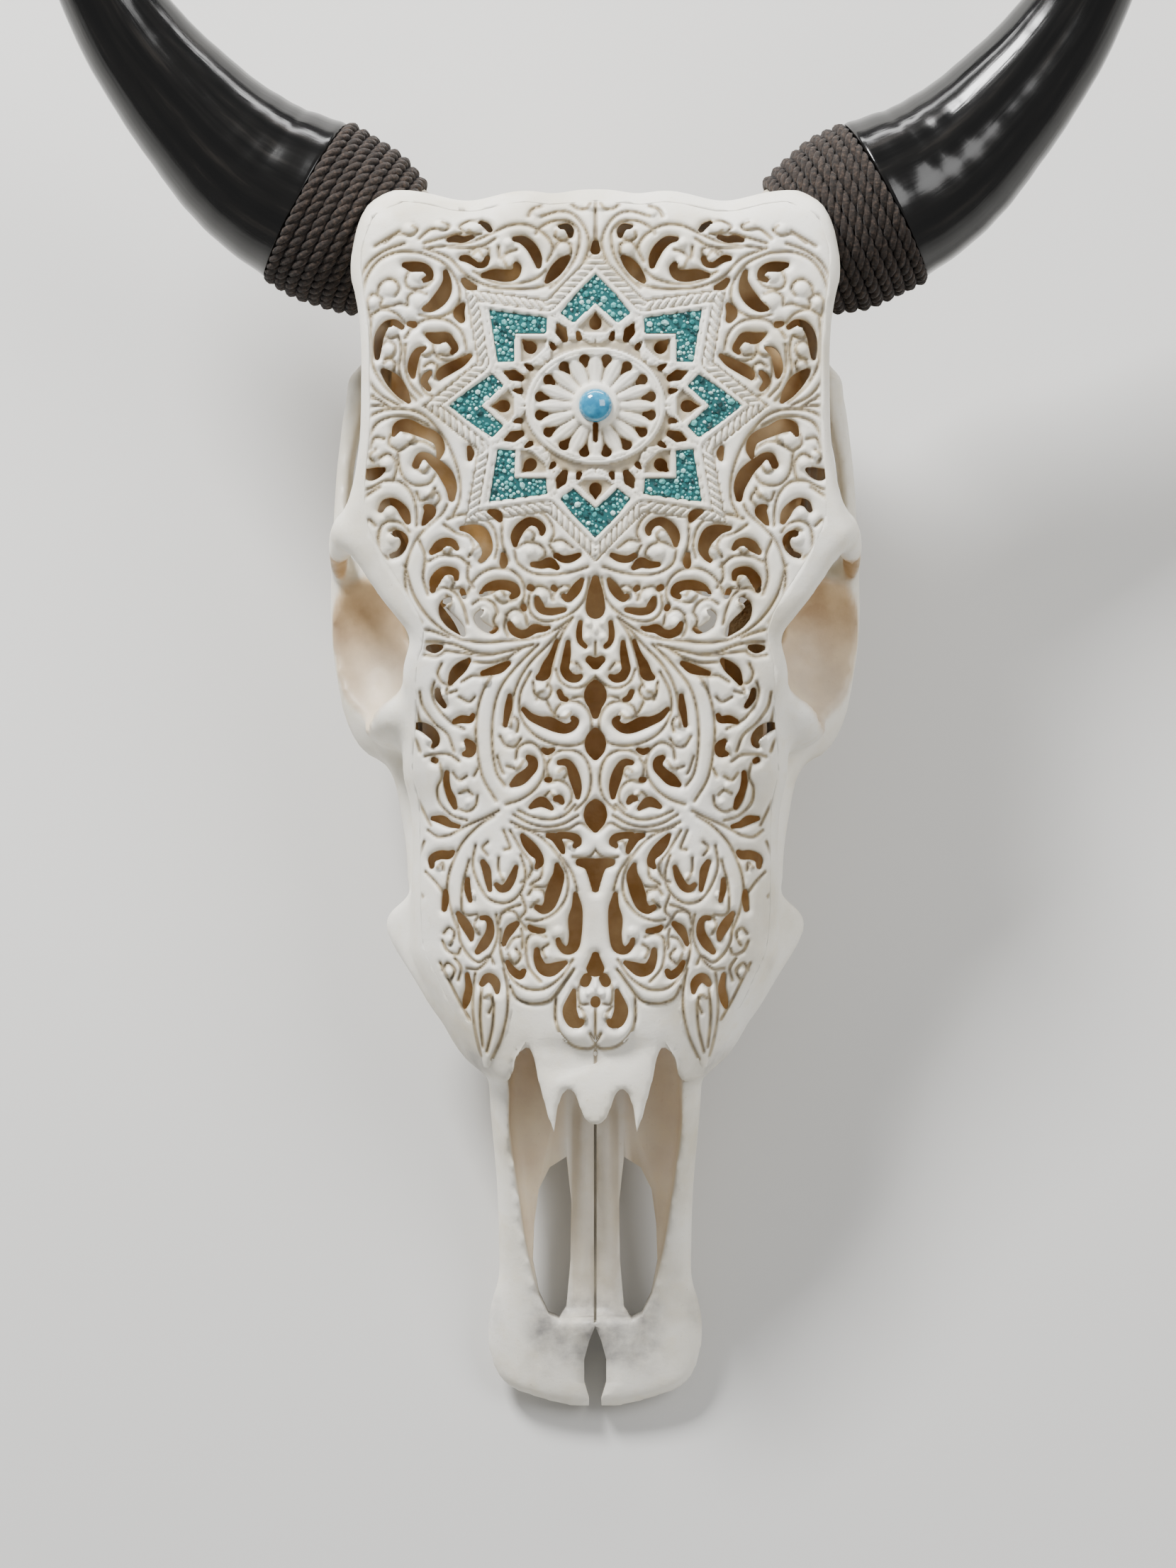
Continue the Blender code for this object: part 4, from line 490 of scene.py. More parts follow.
    ((-39.4, -50), (-39, -60), (-36, -68), (-30, -73.6), (-22, -74), (-14.6, -69), (-10, -62)),
    ((-29, -60), (-28.6, -54), (-25, -51.4), (-21, -53)),
    ((-29, -60), (-27.4, -66), (-23, -71)), ((-21, -61), (-22.4, -58), (-20, -56)),
    ((-31, -49.6), (-30.4, -53), (-30.4, -58)), ((-36, -60), (-34, -64), (-31, -61), (-33, -58)),
    ((-35.4, -73), (-32.4, -78), (-26, -80), (-19, -78.4), (-14, -72), (-9.6, -66)),
    ((-17, -78), (-17, -86), (-15, -92), (-10, -97), (-4, -98.4), (-1, -97)),
    ((-6, -70), (-8, -75), (-7, -80), (-4, -80)), ((-7.6, -81), (-5.4, -84), (-5.6, -87)),
    ((-3, -92), (-1.6, -94.6), (0, -96)),
    ((-38, -66), (-36.4, -74), (-36.6, -84), (-39, -94), (-43, -103)),
    ((-49.6, -68), (-50.8, -78), (-50, -90), (-47.6, -102)),
    ((-46, -78), (-43.6, -76.4), (-42.4, -80), (-44, -84)),
    ((-42, -80), (-42.6, -90), (-45, -100)), ((-47, -74), (-47.6, -86), (-46.6, -98)),
    ((-64, -64), (-60, -72), (-56, -80), (-52, -87)),
    ((-62.6, -52), (-60.4, -49.6), (-58, -52), (-60, -56.6)),
    ((-63, -55), (-61, -59), (-57, -60.4), (-55.6, -58)), ((-63, -67), (-61, -64), (-58, -67), (-60, -71)),
    ((-58, -62), (-55.4, -66), (-56.6, -71)),
    ((-75, 28), (-73.4, 26), (-72, 22)), ((-78, 24), (-76.6, 20)),
    ((-70, 20), (-66, 21), (-60, 20.6), (-56, 18)),
    ((-64, 17), (-63, 12), (-65, 7), (-64, 1), (-59, -4), (-53, -6)),
    ((-58.6, 13.4), (-56, 10.4), (-53, 12)), ((-56, 5), (-53, 6.4), (-50.6, 4.4)),
    ((-57, -1), (-53, -2.4), (-49.4, 0), (-48.6, 4)), ((-50, 12), (-48.4, 15)),
    ((-73, 2), (-70, -4), (-68, -8)), ((-69, -10), (-65, -12.6), (-60, -12)), ((-70.6, -14.6), (-73, -20)),
    ((-74, -34), (-71.4, -37)), ((-70, -27), (-66, -31), (-63, -35)),
    ((-65, -25), (-63, -23), (-62.6, -26)), ((-73.6, 40), (-72, 34)), ((-76, 50), (-74, 44)),
)
# Rounded knobs at the ends of the scrolls, left half: x, y, radius
KNOBS = (
    (-84, 208.5, 3.8), (-72.4, 213.8, 3.4), (-71.5, 203.6, 4.2), (-91, 203, 2.8), (-76, 233, 3.0),
    (-63.4, 235.8, 2.8), (-50, 235.4, 4.2),
    (-48, 221.2, 3.0), (-36.6, 219, 3.6), (-36, 227, 2.4), (-14.6, 231.8, 3.2), (-14, 224.6, 3.2),
    (-24, 240.4, 2.4), (-3, 242.6, 2.6),
    (-83, 192, 2.9), (-84, 184, 3.2), (-84, 178, 2.2), (-61.4, 185, 3.0), (-69, 183.6, 2.8),
    (-67, 175.6, 2.6), (-79.6, 147.6, 3.6),
    (-75, 148, 2.0), (-85, 138, 3.0), (-90, 141.6, 2.2), (-70, 136.6, 2.4), (-84, 118, 2.6),
    (-82.6, 107.6, 3.0), (-68, 126, 2.4),
    (-28, 109.6, 2.6), (-27, 102.6, 2.8), (-14.6, 103.6, 2.6), (-49, 103, 2.8), (-61, 104, 2.2),
    (-60, 91.6, 2.6), (-59.6, 81.6, 2.4),
    (-39.6, 85, 2.6), (-46, 77.4, 2.4), (-33, 74, 2.6), (-22.6, 84.6, 2.6), (-13.4, 86.6, 2.0),
    (-10.4, 56, 2.2), (-23, 47, 2.6),
    (-12.6, 36, 2.8), (-34.6, 33.6, 2.4), (-35, 27, 2.0), (-31, 16.4, 2.8), (-15.4, 13.4, 2.2),
    (-18, 4.6, 1.8), (-11, -15.6, 1.8),
    (-25.6, -22.6, 2.6), (-24, -37, 2.8), (-16, -51, 3.0), (-20.6, -60.6, 2.2), (-34, -60.6, 2.4),
    (-38.6, -29, 2.2), (-51, -36, 1.8),
    (-49.4, -49, 2.2), (-44.4, -76, 2.2), (-6, -85, 2.0), (-60.6, -54.4, 2.2), (-61, -68, 2.2),
    (-65, -25, 1.8), (-68, 27, 2.4),
    (-53.4, 24, 1.8), (-62.4, 45, 1.8), (-44.6, 50.6, 2.2), (-55, 8, 2.4), (-52.4, 1.4, 2.0), (0, 71, 2.6),
    (-4, 68, 2.0), (-3.6, 73.6, 1.8),
    (0, -73, 2.2), (-3.6, -75.4, 1.8),
)
# The carving was traced a little left of the skull's own midline
TRACE_SHIFT = 0.9

# How much wider the openings are than they were traced
OPENING_EXTRA = 0.65
MIDLINE_EXTRA = 1.2
# Cracks along the midline where the two halves of the skull meet, by their y
SEAMS = ((246.0, 228.0), (66.0, 61.0), (-82.0, -97.0), (-99.0, -108.0))
# Outlines of the carved heart, the left swag and the left cartouche at the front of the nose
HEART = (
    (1.0, -57.0), (-4.0, -62.0), (-9.5, -70.0), (-14.5, -80.0), (-15.8, -89.0), (-13.0, -95.0),
    (-7.7, -98.0), (-3.0, -98.0), (1.0, -96.0),
)
SWAG = (
    (-36.6, -56.0), (-36.0, -68.0), (-35.4, -73.0), (-32.4, -78.0), (-26.0, -80.0), (-19.0, -78.4),
    (-14.0, -72.0), (-9.6, -66.0), (-9.6, -56.0),
)
CARTOUCHE = (
    (-41.4, -64.2), (-47.3, -71.0), (-49.8, -80.0), (-50.3, -88.0), (-47.3, -95.0), (-45.4, -106.5),
    (-43.8, -106.5), (-39.5, -99.3), (-35.9, -91.0), (-34.1, -82.0), (-35.4, -71.0),
)

# Crushed stones: how many places are tried in a bed, half sizes, tones, squashes and spacing
CHIP_TRIES = 2600
CHIP_SIZES = (0.65, 0.85, 1.05, 1.3, 1.6)
CHIP_TONES = (0.05, 0.3, 0.45, 0.55, 0.62, 0.7, 0.8, 1.0)
CHIP_SQUASH = ((0.85, 1.2), (0.8, 1.1), (0.7, 1.0))
CHIP_SPACING = 0.84

# The pierced shell and the window in the plain bone below it
GRID_STEP = 0.7
SHELL_THICKNESS = 4.6
SHELL_PARTS = 5
WINDOW_FRONT = -90.0
WINDOW_DEPTH = 9.0
WINDOW_INSET = 1.4

# Depths of the carving: how far and over what width a strap rounds off to an opening and to a cut line
STRAP_FALL = 3.0
STRAP_ROUNDING = 3.4
LINE_FALL = 2.3
LINE_ROUNDING = 2.5
DEEPEST = -3.2
NO_KNOB = -9.0
# Levels inside the star
BAND_GROUND = -1.5
LACE_GROUND = -1.6
STAR_GROUND = -1.7
STONE_BED = -2.8
LACE_HALF_WIDTH = 1.35
COLLET_RADIUS = 9.4
# How far traced lines and openings are felt
OPENING_REACH = 14.0
LINE_REACH = 8.0


def smooth_step(stations, place):
    """Values at a place along a table of stations, eased so that no kink or overshoot shows."""
    first, last = stations[0], stations[-1]
    if place <= first[0]:
        return first[1:]
    if place >= last[0]:
        return last[1:]
    for index in range(len(stations) - 1):
        low, high = stations[index], stations[index + 1]
        if low[0] <= place <= high[0]:
            break
    before = stations[max(index - 1, 0)]
    after = stations[min(index + 2, len(stations) - 1)]
    span = high[0] - low[0]
    t = (place - low[0]) / span
    values = []
    for column in range(1, len(low)):
        rise = (high[column] - low[column]) / span
        rise_before = (low[column] - before[column]) / max(low[0] - before[0], 1e-6)
        rise_after = (after[column] - high[column]) / max(after[0] - high[0], 1e-6)
        slope_low = 0.5 * (rise + rise_before) if rise * rise_before > 0.0 else 0.0
        slope_high = 0.5 * (rise + rise_after) if rise * rise_after > 0.0 else 0.0
        slope_low = max(min(slope_low, 3.0 * abs(rise)), -3.0 * abs(rise))
        slope_high = max(min(slope_high, 3.0 * abs(rise)), -3.0 * abs(rise))
        values.append(
            (2 * t ** 3 - 3 * t ** 2 + 1) * low[column]
            + (t ** 3 - 2 * t ** 2 + t) * span * slope_low
            + (3 * t ** 2 - 2 * t ** 3) * high[column]
            + (t ** 3 - t ** 2) * span * slope_high
        )
    return values


def face_height(x, y):
    """Height of the face's upper surface, muzzle left out."""
    half_width, roll, square, crown = smooth_step(FACE_STATIONS, y)[:4]
    share = min(abs(x) / half_width, 1.0)
    return crown - roll * (1.0 - (1.0 - share ** square) ** (1.0 / square))


def signed_power(value, power):
    """A power that keeps its base's sign, for superellipse rings."""
    return math.copysign(abs(value) ** power, value)


def face_ring(y):
    """One cross-section of the face, rolled at its upper edges and drawn in below."""
    sides = 72
    half_width, roll, square, crown, underside, under_width = smooth_step(FACE_STATIONS, y)
    waist = crown - roll
    ring = []
    for step in range(sides):
        angle = 2.0 * math.pi * step / sides
        cosine, sine = math.cos(angle), math.sin(angle)
        if sine >= 0.0:
            x = half_width * signed_power(cosine, 2.0 / square)
            z = waist + roll * signed_power(sine, 2.0 / square)
        else:
            drop = abs(sine) ** 0.5
            width = half_width + (under_width - half_width) * drop
            x = width * signed_power(cosine, 0.45)
            z = waist + (underside - waist) * drop
        ring.append((x, y, z))
    return ring


def oval_ring(y, half_width, top, bottom, square=2.6, sides=48):
    """An upright superellipse across the face."""
    ring = []
    for step in range(sides):
        angle = 2.0 * math.pi * step / sides
        x = half_width * signed_power(math.cos(angle), 2.0 / square)
        z = 0.5 * (top + bottom) + 0.5 * (top - bottom) * signed_power(math.sin(angle), 2.0 / square)
        ring.append((x, y, z))
    return ring


def skin_rings(bm, rings):
    """Grow one circle of vertices ring by ring, by extruding its edges, and close both ends."""
    count = len(rings[0])
    first = bmesh.ops.create_circle(bm, segments=count, radius=1.0)["verts"]
    row = first
    for vert, point in zip(row, rings[0]):
        vert.co = point
    for ring in rings[1:]:
        edges = [bm.edges.get((row[step - 1], row[step])) for step in range(count)]
        grown = bmesh.ops.extrude_edge_only(bm, edges=edges)["geom"]
        fresh = {item for item in grown if isinstance(item, bmesh.types.BMVert)}
        row = [
            next(edge.other_vert(vert) for edge in vert.link_edges if edge.other_vert(vert) in fresh)
            for vert in row
        ]
        for vert, point in zip(row, ring):
            vert.co = point
    bm.faces.new(first)
    bm.faces.new(row)


def add_sweep(bm, path, sides=24):
    """A tube along path points (x, y, z, half width, half height), width measured level."""
    centres = [Vector(point[:3]) for point in path]
    rings = []
    for index, centre in enumerate(centres):
        ahead = centres[min(index + 1, len(centres) - 1)]
        behind = centres[max(index - 1, 0)]
        along = (ahead - behind).normalized()
        reference = Vector((0.0, 1.0, 0.0)) if abs(along.z) > 0.8 else Vector((0.0, 0.0, 1.0))
        side = along.cross(reference).normalized()
        up = side.cross(along).normalized()
        width, height = path[index][3:]
        ring = []
        for step in range(sides):
            angle = 2.0 * math.pi * step / sides
            ring.append(centre + side * width * math.cos(angle) + up * height * math.sin(angle))
        rings.append(ring)
    skin_rings(bm, rings)


def add_ellipsoid(bm, centre, radii, turn=0.0, sides=24):
    """An ellipsoid, turned about the face's own Z axis."""
    matrix = Matrix.Translation(centre) @ Matrix.Rotation(turn, 4, "Z") @ Matrix.Diagonal((*radii, 1.0))
    bmesh.ops.create_uvsphere(bm, u_segments=sides, v_segments=sides * 2 // 3, radius=1.0, matrix=matrix)


def add_prism(bm, outline, low, high):
    """A flat outline extruded into a solid; low and high are heights or functions of x and y."""
    verts = [bm.verts.new((x, y, 0.0)) for x, y in outline]
    face = bm.faces.new(verts)
    grown = bmesh.ops.extrude_face_region(bm, geom=[face])["geom"]
    tops = [item for item in grown if isinstance(item, bmesh.types.BMVert)]
    for group, level in ((verts, low), (tops, high)):
        for vert in group:
            vert.co.z = level(vert.co.x, vert.co.y) if callable(level) else level


def both_sides(points):
    """A left outline and its mirror image."""
    return points, tuple((-point[0], *point[1:]) for point in reversed(points))


def mirror_path(path):
    """The same path on the other side of the face."""
    return tuple((-point[0], *point[1:]) for point in path)


def horn_foot(side):
    """Rim and outward axis of one horn."""
    return tuple(Vector((point.x * -side, point.y, point.z)) for point in (HORN_RIM, HORN_AXIS))


def even_places(stations, steps):
    """Even places from the first station to the last."""
    start, stop = stations[0][0], stations[-1][0]
    return [start + (stop - start) * step / steps for step in range(steps + 1)]


def resampled(path, count):
    """Points spread along a path of stations by a smooth curve through them."""
    numbered = tuple((float(index), *point) for index, point in enumerate(path))
    last = len(path) - 1
    return [tuple(smooth_step(numbered, last * step / (count - 1))) for step in range(count)]


def make_piece(bm, name):
    """A finished bmesh as an object, its faces turned outwards."""
    bmesh.ops.recalc_face_normals(bm, faces=bm.faces)
    mesh = bpy.data.meshes.new(name)
    bm.to_mesh(mesh)
    bm.free()
    piece = bpy.data.objects.new(name, mesh)
    bpy.context.scene.collection.objects.link(piece)
    return piece


def settle(piece, cutters):
    """Apply the live modifiers to the piece's own mesh, and remove their cutters."""
    depsgraph = bpy.context.evaluated_depsgraph_get()
    mesh = bpy.data.meshes.new_from_object(piece.evaluated_get(depsgraph), depsgraph=depsgraph)
    piece.modifiers.clear()
    old = piece.data
    piece.data = mesh
    bpy.data.meshes.remove(old)
    for cutter in cutters:
        bpy.data.objects.remove(cutter, do_unlink=True)
    return mesh


def corner_array(mesh):
    """The mesh's vertices as an array, in the face frame's millimetres."""
    places = np.empty(len(mesh.vertices) * 3)
    mesh.vertices.foreach_get("co", places)
    return places.reshape(-1, 3)


def paint(mesh, name, values):
    """Keep one number a vertex, for the materials to read."""
    layer = mesh.attributes.new(name, "FLOAT", "POINT")
    layer.data.foreach_set("value", np.asarray(values, dtype=np.float32))


def set_down(piece, materials, slot, *nodes):
    """Place a piece in the row frame, smooth it, dress it and let it ride on the body."""
    piece.data.transform(PLACE)
    piece.data.polygons.foreach_set("use_smooth", [True] * len(piece.data.polygons))
    for material in materials:
        piece.data.materials.append(material)
    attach(piece, "root")
    if nodes:
        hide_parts(*nodes)


# Materials


def linear(code):
    """An sRGB hex colour as the linear values that a shader takes."""
    values = []
    for start in (1, 3, 5):
        share = int(code[start:start + 2], 16) / 255.0
        values.append(share / 12.92 if share <= 0.04045 else ((share + 0.055) / 1.055) ** 2.4)
    return (*values, 1.0)


def add_node(tree, kind, inputs=None, stops=(), **settings):
    """One node with its settings, its inputs' values or links, and a ramp's (place, hex) stops."""
    made = tree.nodes.new(kind)
    for name, value in settings.items():
        setattr(made, name, value)
    for name, value in (inputs or {}).items():
        if isinstance(value, bpy.types.NodeSocket):
            tree.links.new(value, made.inputs[name])
        else:
            made.inputs[name].default_value = value
    for index, (place, code) in enumerate(stops):
        elements = made.color_ramp.elements
        element = elements[index] if index < len(elements) else elements.new(place)
        element.position = place
        element.color = linear(code)
    return made


def begin_material(name, **values):
    """A material whose shader has its plain values, with its tree, shader and Object coordinates."""
    material = bpy.data.materials.new(name)
    material.use_nodes = True
    tree = material.node_tree
    shader = tree.nodes["Principled BSDF"]
    for socket, value in values.items():
        shader.inputs[socket.replace("_", " ")].default_value = value
    return material, tree, shader, add_node(tree, "ShaderNodeTexCoord").outputs["Object"]


def per_metre(feature):
    """The noise scale that gives features of so many millimetres."""
    return 1.0 / (feature * MM)


def bone_finish():
    """Bleached cow bone, scraped and sanded: chalky white, faintly warm, with ochre left in its hollows, and
    with painted shade, dirt and soot laid over it in grey and brown from painted attributes.
    """
    material, tree, shader, place = begin_material("bleached_bone", Roughness=0.5, IOR=1.55)
    drift = add_node(tree, "ShaderNodeTexNoise", {"Vector": place, "Scale": per_metre(38.0), "Detail": 4.0})
    mottle = add_node(tree, "ShaderNodeTexNoise", {"Vector": place, "Scale": per_metre(7.0), "Detail": 5.0})
    pores = add_node(tree, "ShaderNodeTexNoise", {"Vector": place, "Scale": per_metre(1.1), "Detail": 2.0})
    smudge = add_node(tree, "ShaderNodeTexNoise", {
        "Vector": place, "Scale": per_metre(13.0), "Detail": 5.0, "Roughness": 0.6})
    warm = add_node(tree, "ShaderNodeMapRange", {
        "Value": mottle.outputs["Fac"], "From Min": 0.5, "From Max": 0.8, "To Max": 0.4})
    pits = add_node(tree, "ShaderNodeMapRange", {
        "Value": pores.outputs["Fac"], "From Min": 0.66, "From Max": 0.8, "To Max": 0.35})
    patch = add_node(tree, "ShaderNodeMapRange", {
        "Value": smudge.outputs["Fac"], "From Min": 0.25, "From Max": 0.75})
    # Grey soot together with painted shade, broken up by the smudge noise
    soot_and_shade = add_node(tree, "ShaderNodeAttribute", attribute_name="soot_and_shade")
    grey = add_node(
        tree, "ShaderNodeMath", {0: patch.outputs[0], 1: soot_and_shade.outputs["Fac"]}, operation="MULTIPLY")
    # Colours laid over the bone one after the other, each by its share
    layers = [
        (linear("#e6dabd"), warm.outputs[0]),
        (linear("#a89678"), pits.outputs[0]),
        (linear("#83807e"), grey.outputs[0]),
    ]
    # Stains from painted attributes: tan in the orbits, partly painted shade; grey painted shade in the
    # fossae and deep down; ochre inside; brown dirt with painted shade in the carving's recesses
    stains = (
        ("tan", 21.0, (0.35, "#a58257"), (0.62, "#d6b98e")),
        ("fossa", 17.0, (0.35, "#a99b84"), (0.65, "#c4b8a2")),
        ("inner", 14.0, (0.3, "#cfa260"), (0.7, "#f8dcaa")),
        ("dirt", 5.0, (0.35, "#6f5c3c"), (0.7, "#a8946a")),
    )
    for name, feature, *stops in stains:
        cloud = add_node(
            tree, "ShaderNodeTexNoise", {"Vector": place, "Scale": per_metre(feature), "Detail": 4.0})
        stain = add_node(tree, "ShaderNodeValToRGB", {"Fac": cloud.outputs["Fac"]}, stops)
        share = add_node(tree, "ShaderNodeAttribute", attribute_name=name)
        layers.append((stain.outputs["Color"], share.outputs["Fac"]))
    tone = add_node(tree, "ShaderNodeValToRGB", {"Fac": drift.outputs["Fac"]},
                    ((0.3, "#dad3c1"), (0.46, "#f0ebdd"), (0.7, "#f6f3ea"))).outputs["Color"]
    for over, share in layers:
        tone = add_node(tree, "ShaderNodeMix", {0: share, 6: tone, 7: over}, data_type="RGBA").outputs[2]
    tree.links.new(tone, shader.inputs["Base Color"])
    dullness = add_node(tree, "ShaderNodeMapRange", {
        "Value": mottle.outputs["Fac"], "From Min": 0.3, "From Max": 0.7, "To Min": 0.42, "To Max": 0.6})
    tree.links.new(dullness.outputs[0], shader.inputs["Roughness"])
    grain = add_node(tree, "ShaderNodeBump", {
        "Height": pores.outputs["Fac"], "Distance": 0.12 * MM, "Strength": 0.5})
    lumps = add_node(tree, "ShaderNodeBump", {
        "Height": mottle.outputs["Fac"], "Distance": 0.5 * MM,
        "Strength": 0.4, "Normal": grain.outputs["Normal"]})
    tree.links.new(lumps.outputs["Normal"], shader.inputs["Normal"])
    return material


def cut_bone_finish():
    """Sawn walls of the openings, which held the ochre that was rubbed off the face."""
    material, tree, shader, place = begin_material("ochre_cut_bone", Roughness=0.7, IOR=1.55)
    grain = add_node(tree, "ShaderNodeTexNoise", {"Vector": place, "Scale": per_metre(5.5), "Detail": 4.0})
    tone = add_node(tree, "ShaderNodeValToRGB", {"Fac": grain.outputs["Fac"]},
                    ((0.3, "#a07c4a"), (0.5, "#c8a878"), (0.75, "#e0cca8")))
    tree.links.new(tone.outputs["Color"], shader.inputs["Base Color"])
    bump = add_node(tree, "ShaderNodeBump", {
        "Height": grain.outputs["Fac"], "Distance": 0.4 * MM, "Strength": 0.5})
    tree.links.new(bump.outputs["Normal"], shader.inputs["Normal"])
    return material


def horn_finish():
    """Polished black horn: a mirror-dark keratin whose lengthwise fibres blur its highlights."""
    material, tree, shader, place = begin_material("polished_black_horn", IOR=1.54, Specular_IOR_Level=0.4)
    fibre = add_node(tree, "ShaderNodeAttribute", attribute_name="fibre")
    reach = add_node(tree, "ShaderNodeAttribute", attribute_name="reach")
    across = add_node(tree, "ShaderNodeCombineXYZ", {"X": fibre.outputs["Fac"], "Y": reach.outputs["Fac"]})
    streak = add_node(tree, "ShaderNodeTexNoise", {"Vector": across.outputs[0], "Scale": 1.0, "Detail": 4.0},
                      noise_dimensions="2D")
    tone = add_node(tree, "ShaderNodeValToRGB", {"Fac": streak.outputs["Fac"]},
                    ((0.35, "#050505"), (0.62, "#0c0b0a"), (0.82, "#211e1b")))
    tree.links.new(tone.outputs["Color"], shader.inputs["Base Color"])
    blur = add_node(tree, "ShaderNodeMapRange", {
        "Value": streak.outputs["Fac"], "From Min": 0.3, "From Max": 0.7, "To Min": 0.12, "To Max": 0.22})
    tree.links.new(blur.outputs[0], shader.inputs["Roughness"])
    scuffs = add_node(tree, "ShaderNodeTexNoise", {"Vector": place, "Scale": per_metre(2.4), "Detail": 3.0})
    fine = add_node(tree, "ShaderNodeBump", {
        "Height": scuffs.outputs["Fac"], "Distance": 0.1 * MM, "Strength": 0.12})
    ribs = add_node(tree, "ShaderNodeBump", {
        "Height": streak.outputs["Fac"], "Distance": 0.5 * MM,
        "Strength": 0.25, "Normal": fine.outputs["Normal"]})
    tree.links.new(ribs.outputs["Normal"], shader.inputs["Normal"])
    return material


def rope_finish():
    """Dark coir rope: dull and hairy, with black painted shade down between its plies."""
    material, tree, shader, place = begin_material("dark_coir_rope", Roughness=0.92, Sheen_Weight=0.05)
    hairs = add_node(tree, "ShaderNodeTexNoise", {"Vector": place, "Scale": per_metre(1.4), "Detail": 4.0})
    fibres = add_node(tree, "ShaderNodeValToRGB", {"Fac": hairs.outputs["Fac"]},
                      ((0.3, "#120e0b"), (0.52, "#271e18"), (0.75, "#473a31")))
    crevice_shade = add_node(tree, "ShaderNodeAttribute", attribute_name="crevice_shade")
    # Painted shade: the rope goes black where it lies deep between the plies
    tone = add_node(tree, "ShaderNodeMix", {
        0: crevice_shade.outputs["Fac"], 6: fibres.outputs["Color"], 7: linear("#15100e")}, data_type="RGBA")
    tree.links.new(tone.outputs[2], shader.inputs["Base Color"])
    bump = add_node(tree, "ShaderNodeBump", {
        "Height": hairs.outputs["Fac"], "Distance": 0.6 * MM, "Strength": 0.9})
    tree.links.new(bump.outputs["Normal"], shader.inputs["Normal"])
    return material


def chip_finish():
    """Crushed turquoise, each chip of its own blue-green, set in a black resin."""
    material, tree, shader, place = begin_material("crushed_turquoise", Roughness=0.3, IOR=1.61)
    kind = add_node(tree, "ShaderNodeAttribute", attribute_name="tone")
    stone = add_node(tree, "ShaderNodeValToRGB", {"Fac": kind.outputs["Fac"]},
                     ((0.0, "#0c2a2d"), (0.3, "#2e7f80"), (0.62, "#62b6b3"), (1.0, "#bfe6e1")))
    veins = add_node(tree, "ShaderNodeTexNoise", {"Vector": place, "Scale": per_metre(1.4), "Detail": 4.0})
    dark = add_node(tree, "ShaderNodeMapRange", {
        "Value": veins.outputs["Fac"], "From Min": 0.58, "From Max": 0.72, "To Max": 0.5})
    veined = add_node(tree, "ShaderNodeMix", {
        0: dark.outputs[0], 6: stone.outputs["Color"], 7: linear("#1d4f50")}, data_type="RGBA")
    tree.links.new(veined.outputs[2], shader.inputs["Base Color"])
    bump = add_node(tree, "ShaderNodeBump", {
        "Height": veins.outputs["Fac"], "Distance": 0.2 * MM, "Strength": 0.4})
    tree.links.new(bump.outputs["Normal"], shader.inputs["Normal"])
    return material


def bead_finish():
    """A polished blue howlite bead, cloudy under a clear gloss."""
    material, tree, shader, place = begin_material(
        "polished_blue_stone", Roughness=0.12, IOR=1.61, Coat_Weight=0.6)
    cloud = add_node(tree, "ShaderNodeTexNoise", {"Vector": place, "Scale": per_metre(4.5), "Detail": 3.0})
    tone = add_node(tree, "ShaderNodeValToRGB", {"Fac": cloud.outputs["Fac"]},
                    ((0.35, "#19759c"), (0.6, "#2f98bf"), (0.8, "#78c6dc")))
    tree.links.new(tone.outputs["Color"], shader.inputs["Base Color"])
    return material


def tooth_finish():
    """Cheek-tooth enamel stained by grazing: cream with brown cement in its folds."""
    material, tree, shader, place = begin_material("stained_enamel", Roughness=0.3, IOR=1.62)
    tall = add_node(tree, "ShaderNodeMapping", {"Vector": place, "Scale": (1.0, 1.0, 0.3)})
    grain = add_node(tree, "ShaderNodeTexNoise", {
        "Vector": tall.outputs[0], "Scale": per_metre(11.0), "Detail": 5.0})
    enamel = add_node(tree, "ShaderNodeValToRGB", {"Fac": grain.outputs["Fac"]},
                      ((0.3, "#83694a"), (0.5, "#c9b792"), (0.75, "#e2d9bf")))
    crown = add_node(tree, "ShaderNodeAttribute", attribute_name="crown")
    tone = add_node(tree, "ShaderNodeMix", {
        0: crown.outputs["Fac"], 6: enamel.outputs["Color"], 7: linear("#6f583f")}, data_type="RGBA")
    tree.links.new(tone.outputs[2], shader.inputs["Base Color"])
    bump = add_node(tree, "ShaderNodeBump", {
        "Height": grain.outputs["Fac"], "Distance": 0.5 * MM, "Strength": 0.5})
    tree.links.new(bump.outputs["Normal"], shader.inputs["Normal"])
    return material


# The bone


def bone_masses():
    """The skull's solid masses, before it is hollowed."""
    bm = bmesh.new()
    skin_rings(bm, [face_ring(y) for y in even_places(FACE_STATIONS, 96)])
    rings = []
    for y in even_places(MUZZLE_STATIONS, 48):
        rings.append(oval_ring(y, *smooth_step(MUZZLE_STATIONS, y), square=3.0))
    skin_rings(bm, rings)
    rings = []
    for y in even_places(BRAINCASE_STATIONS, 24):
        half_width, centre, half_height = smooth_step(BRAINCASE_STATIONS, y)
        rings.append(oval_ring(y, half_width, centre + half_height, centre - half_height, square=2.2))
    skin_rings(bm, rings)
    # Nuchal plate below the poll, and the skull base in front of the condyles
    add_ellipsoid(bm, (0.0, 229.0, -58.0), (92.0, 17.0, 50.0))
    add_ellipsoid(bm, (0.0, 165.0, -134.0), (22.0, 66.0, 16.0))
    for side in (-1.0, 1.0):
        add_side_masses(bm, side)
    return make_piece(bm, "skull_bone")


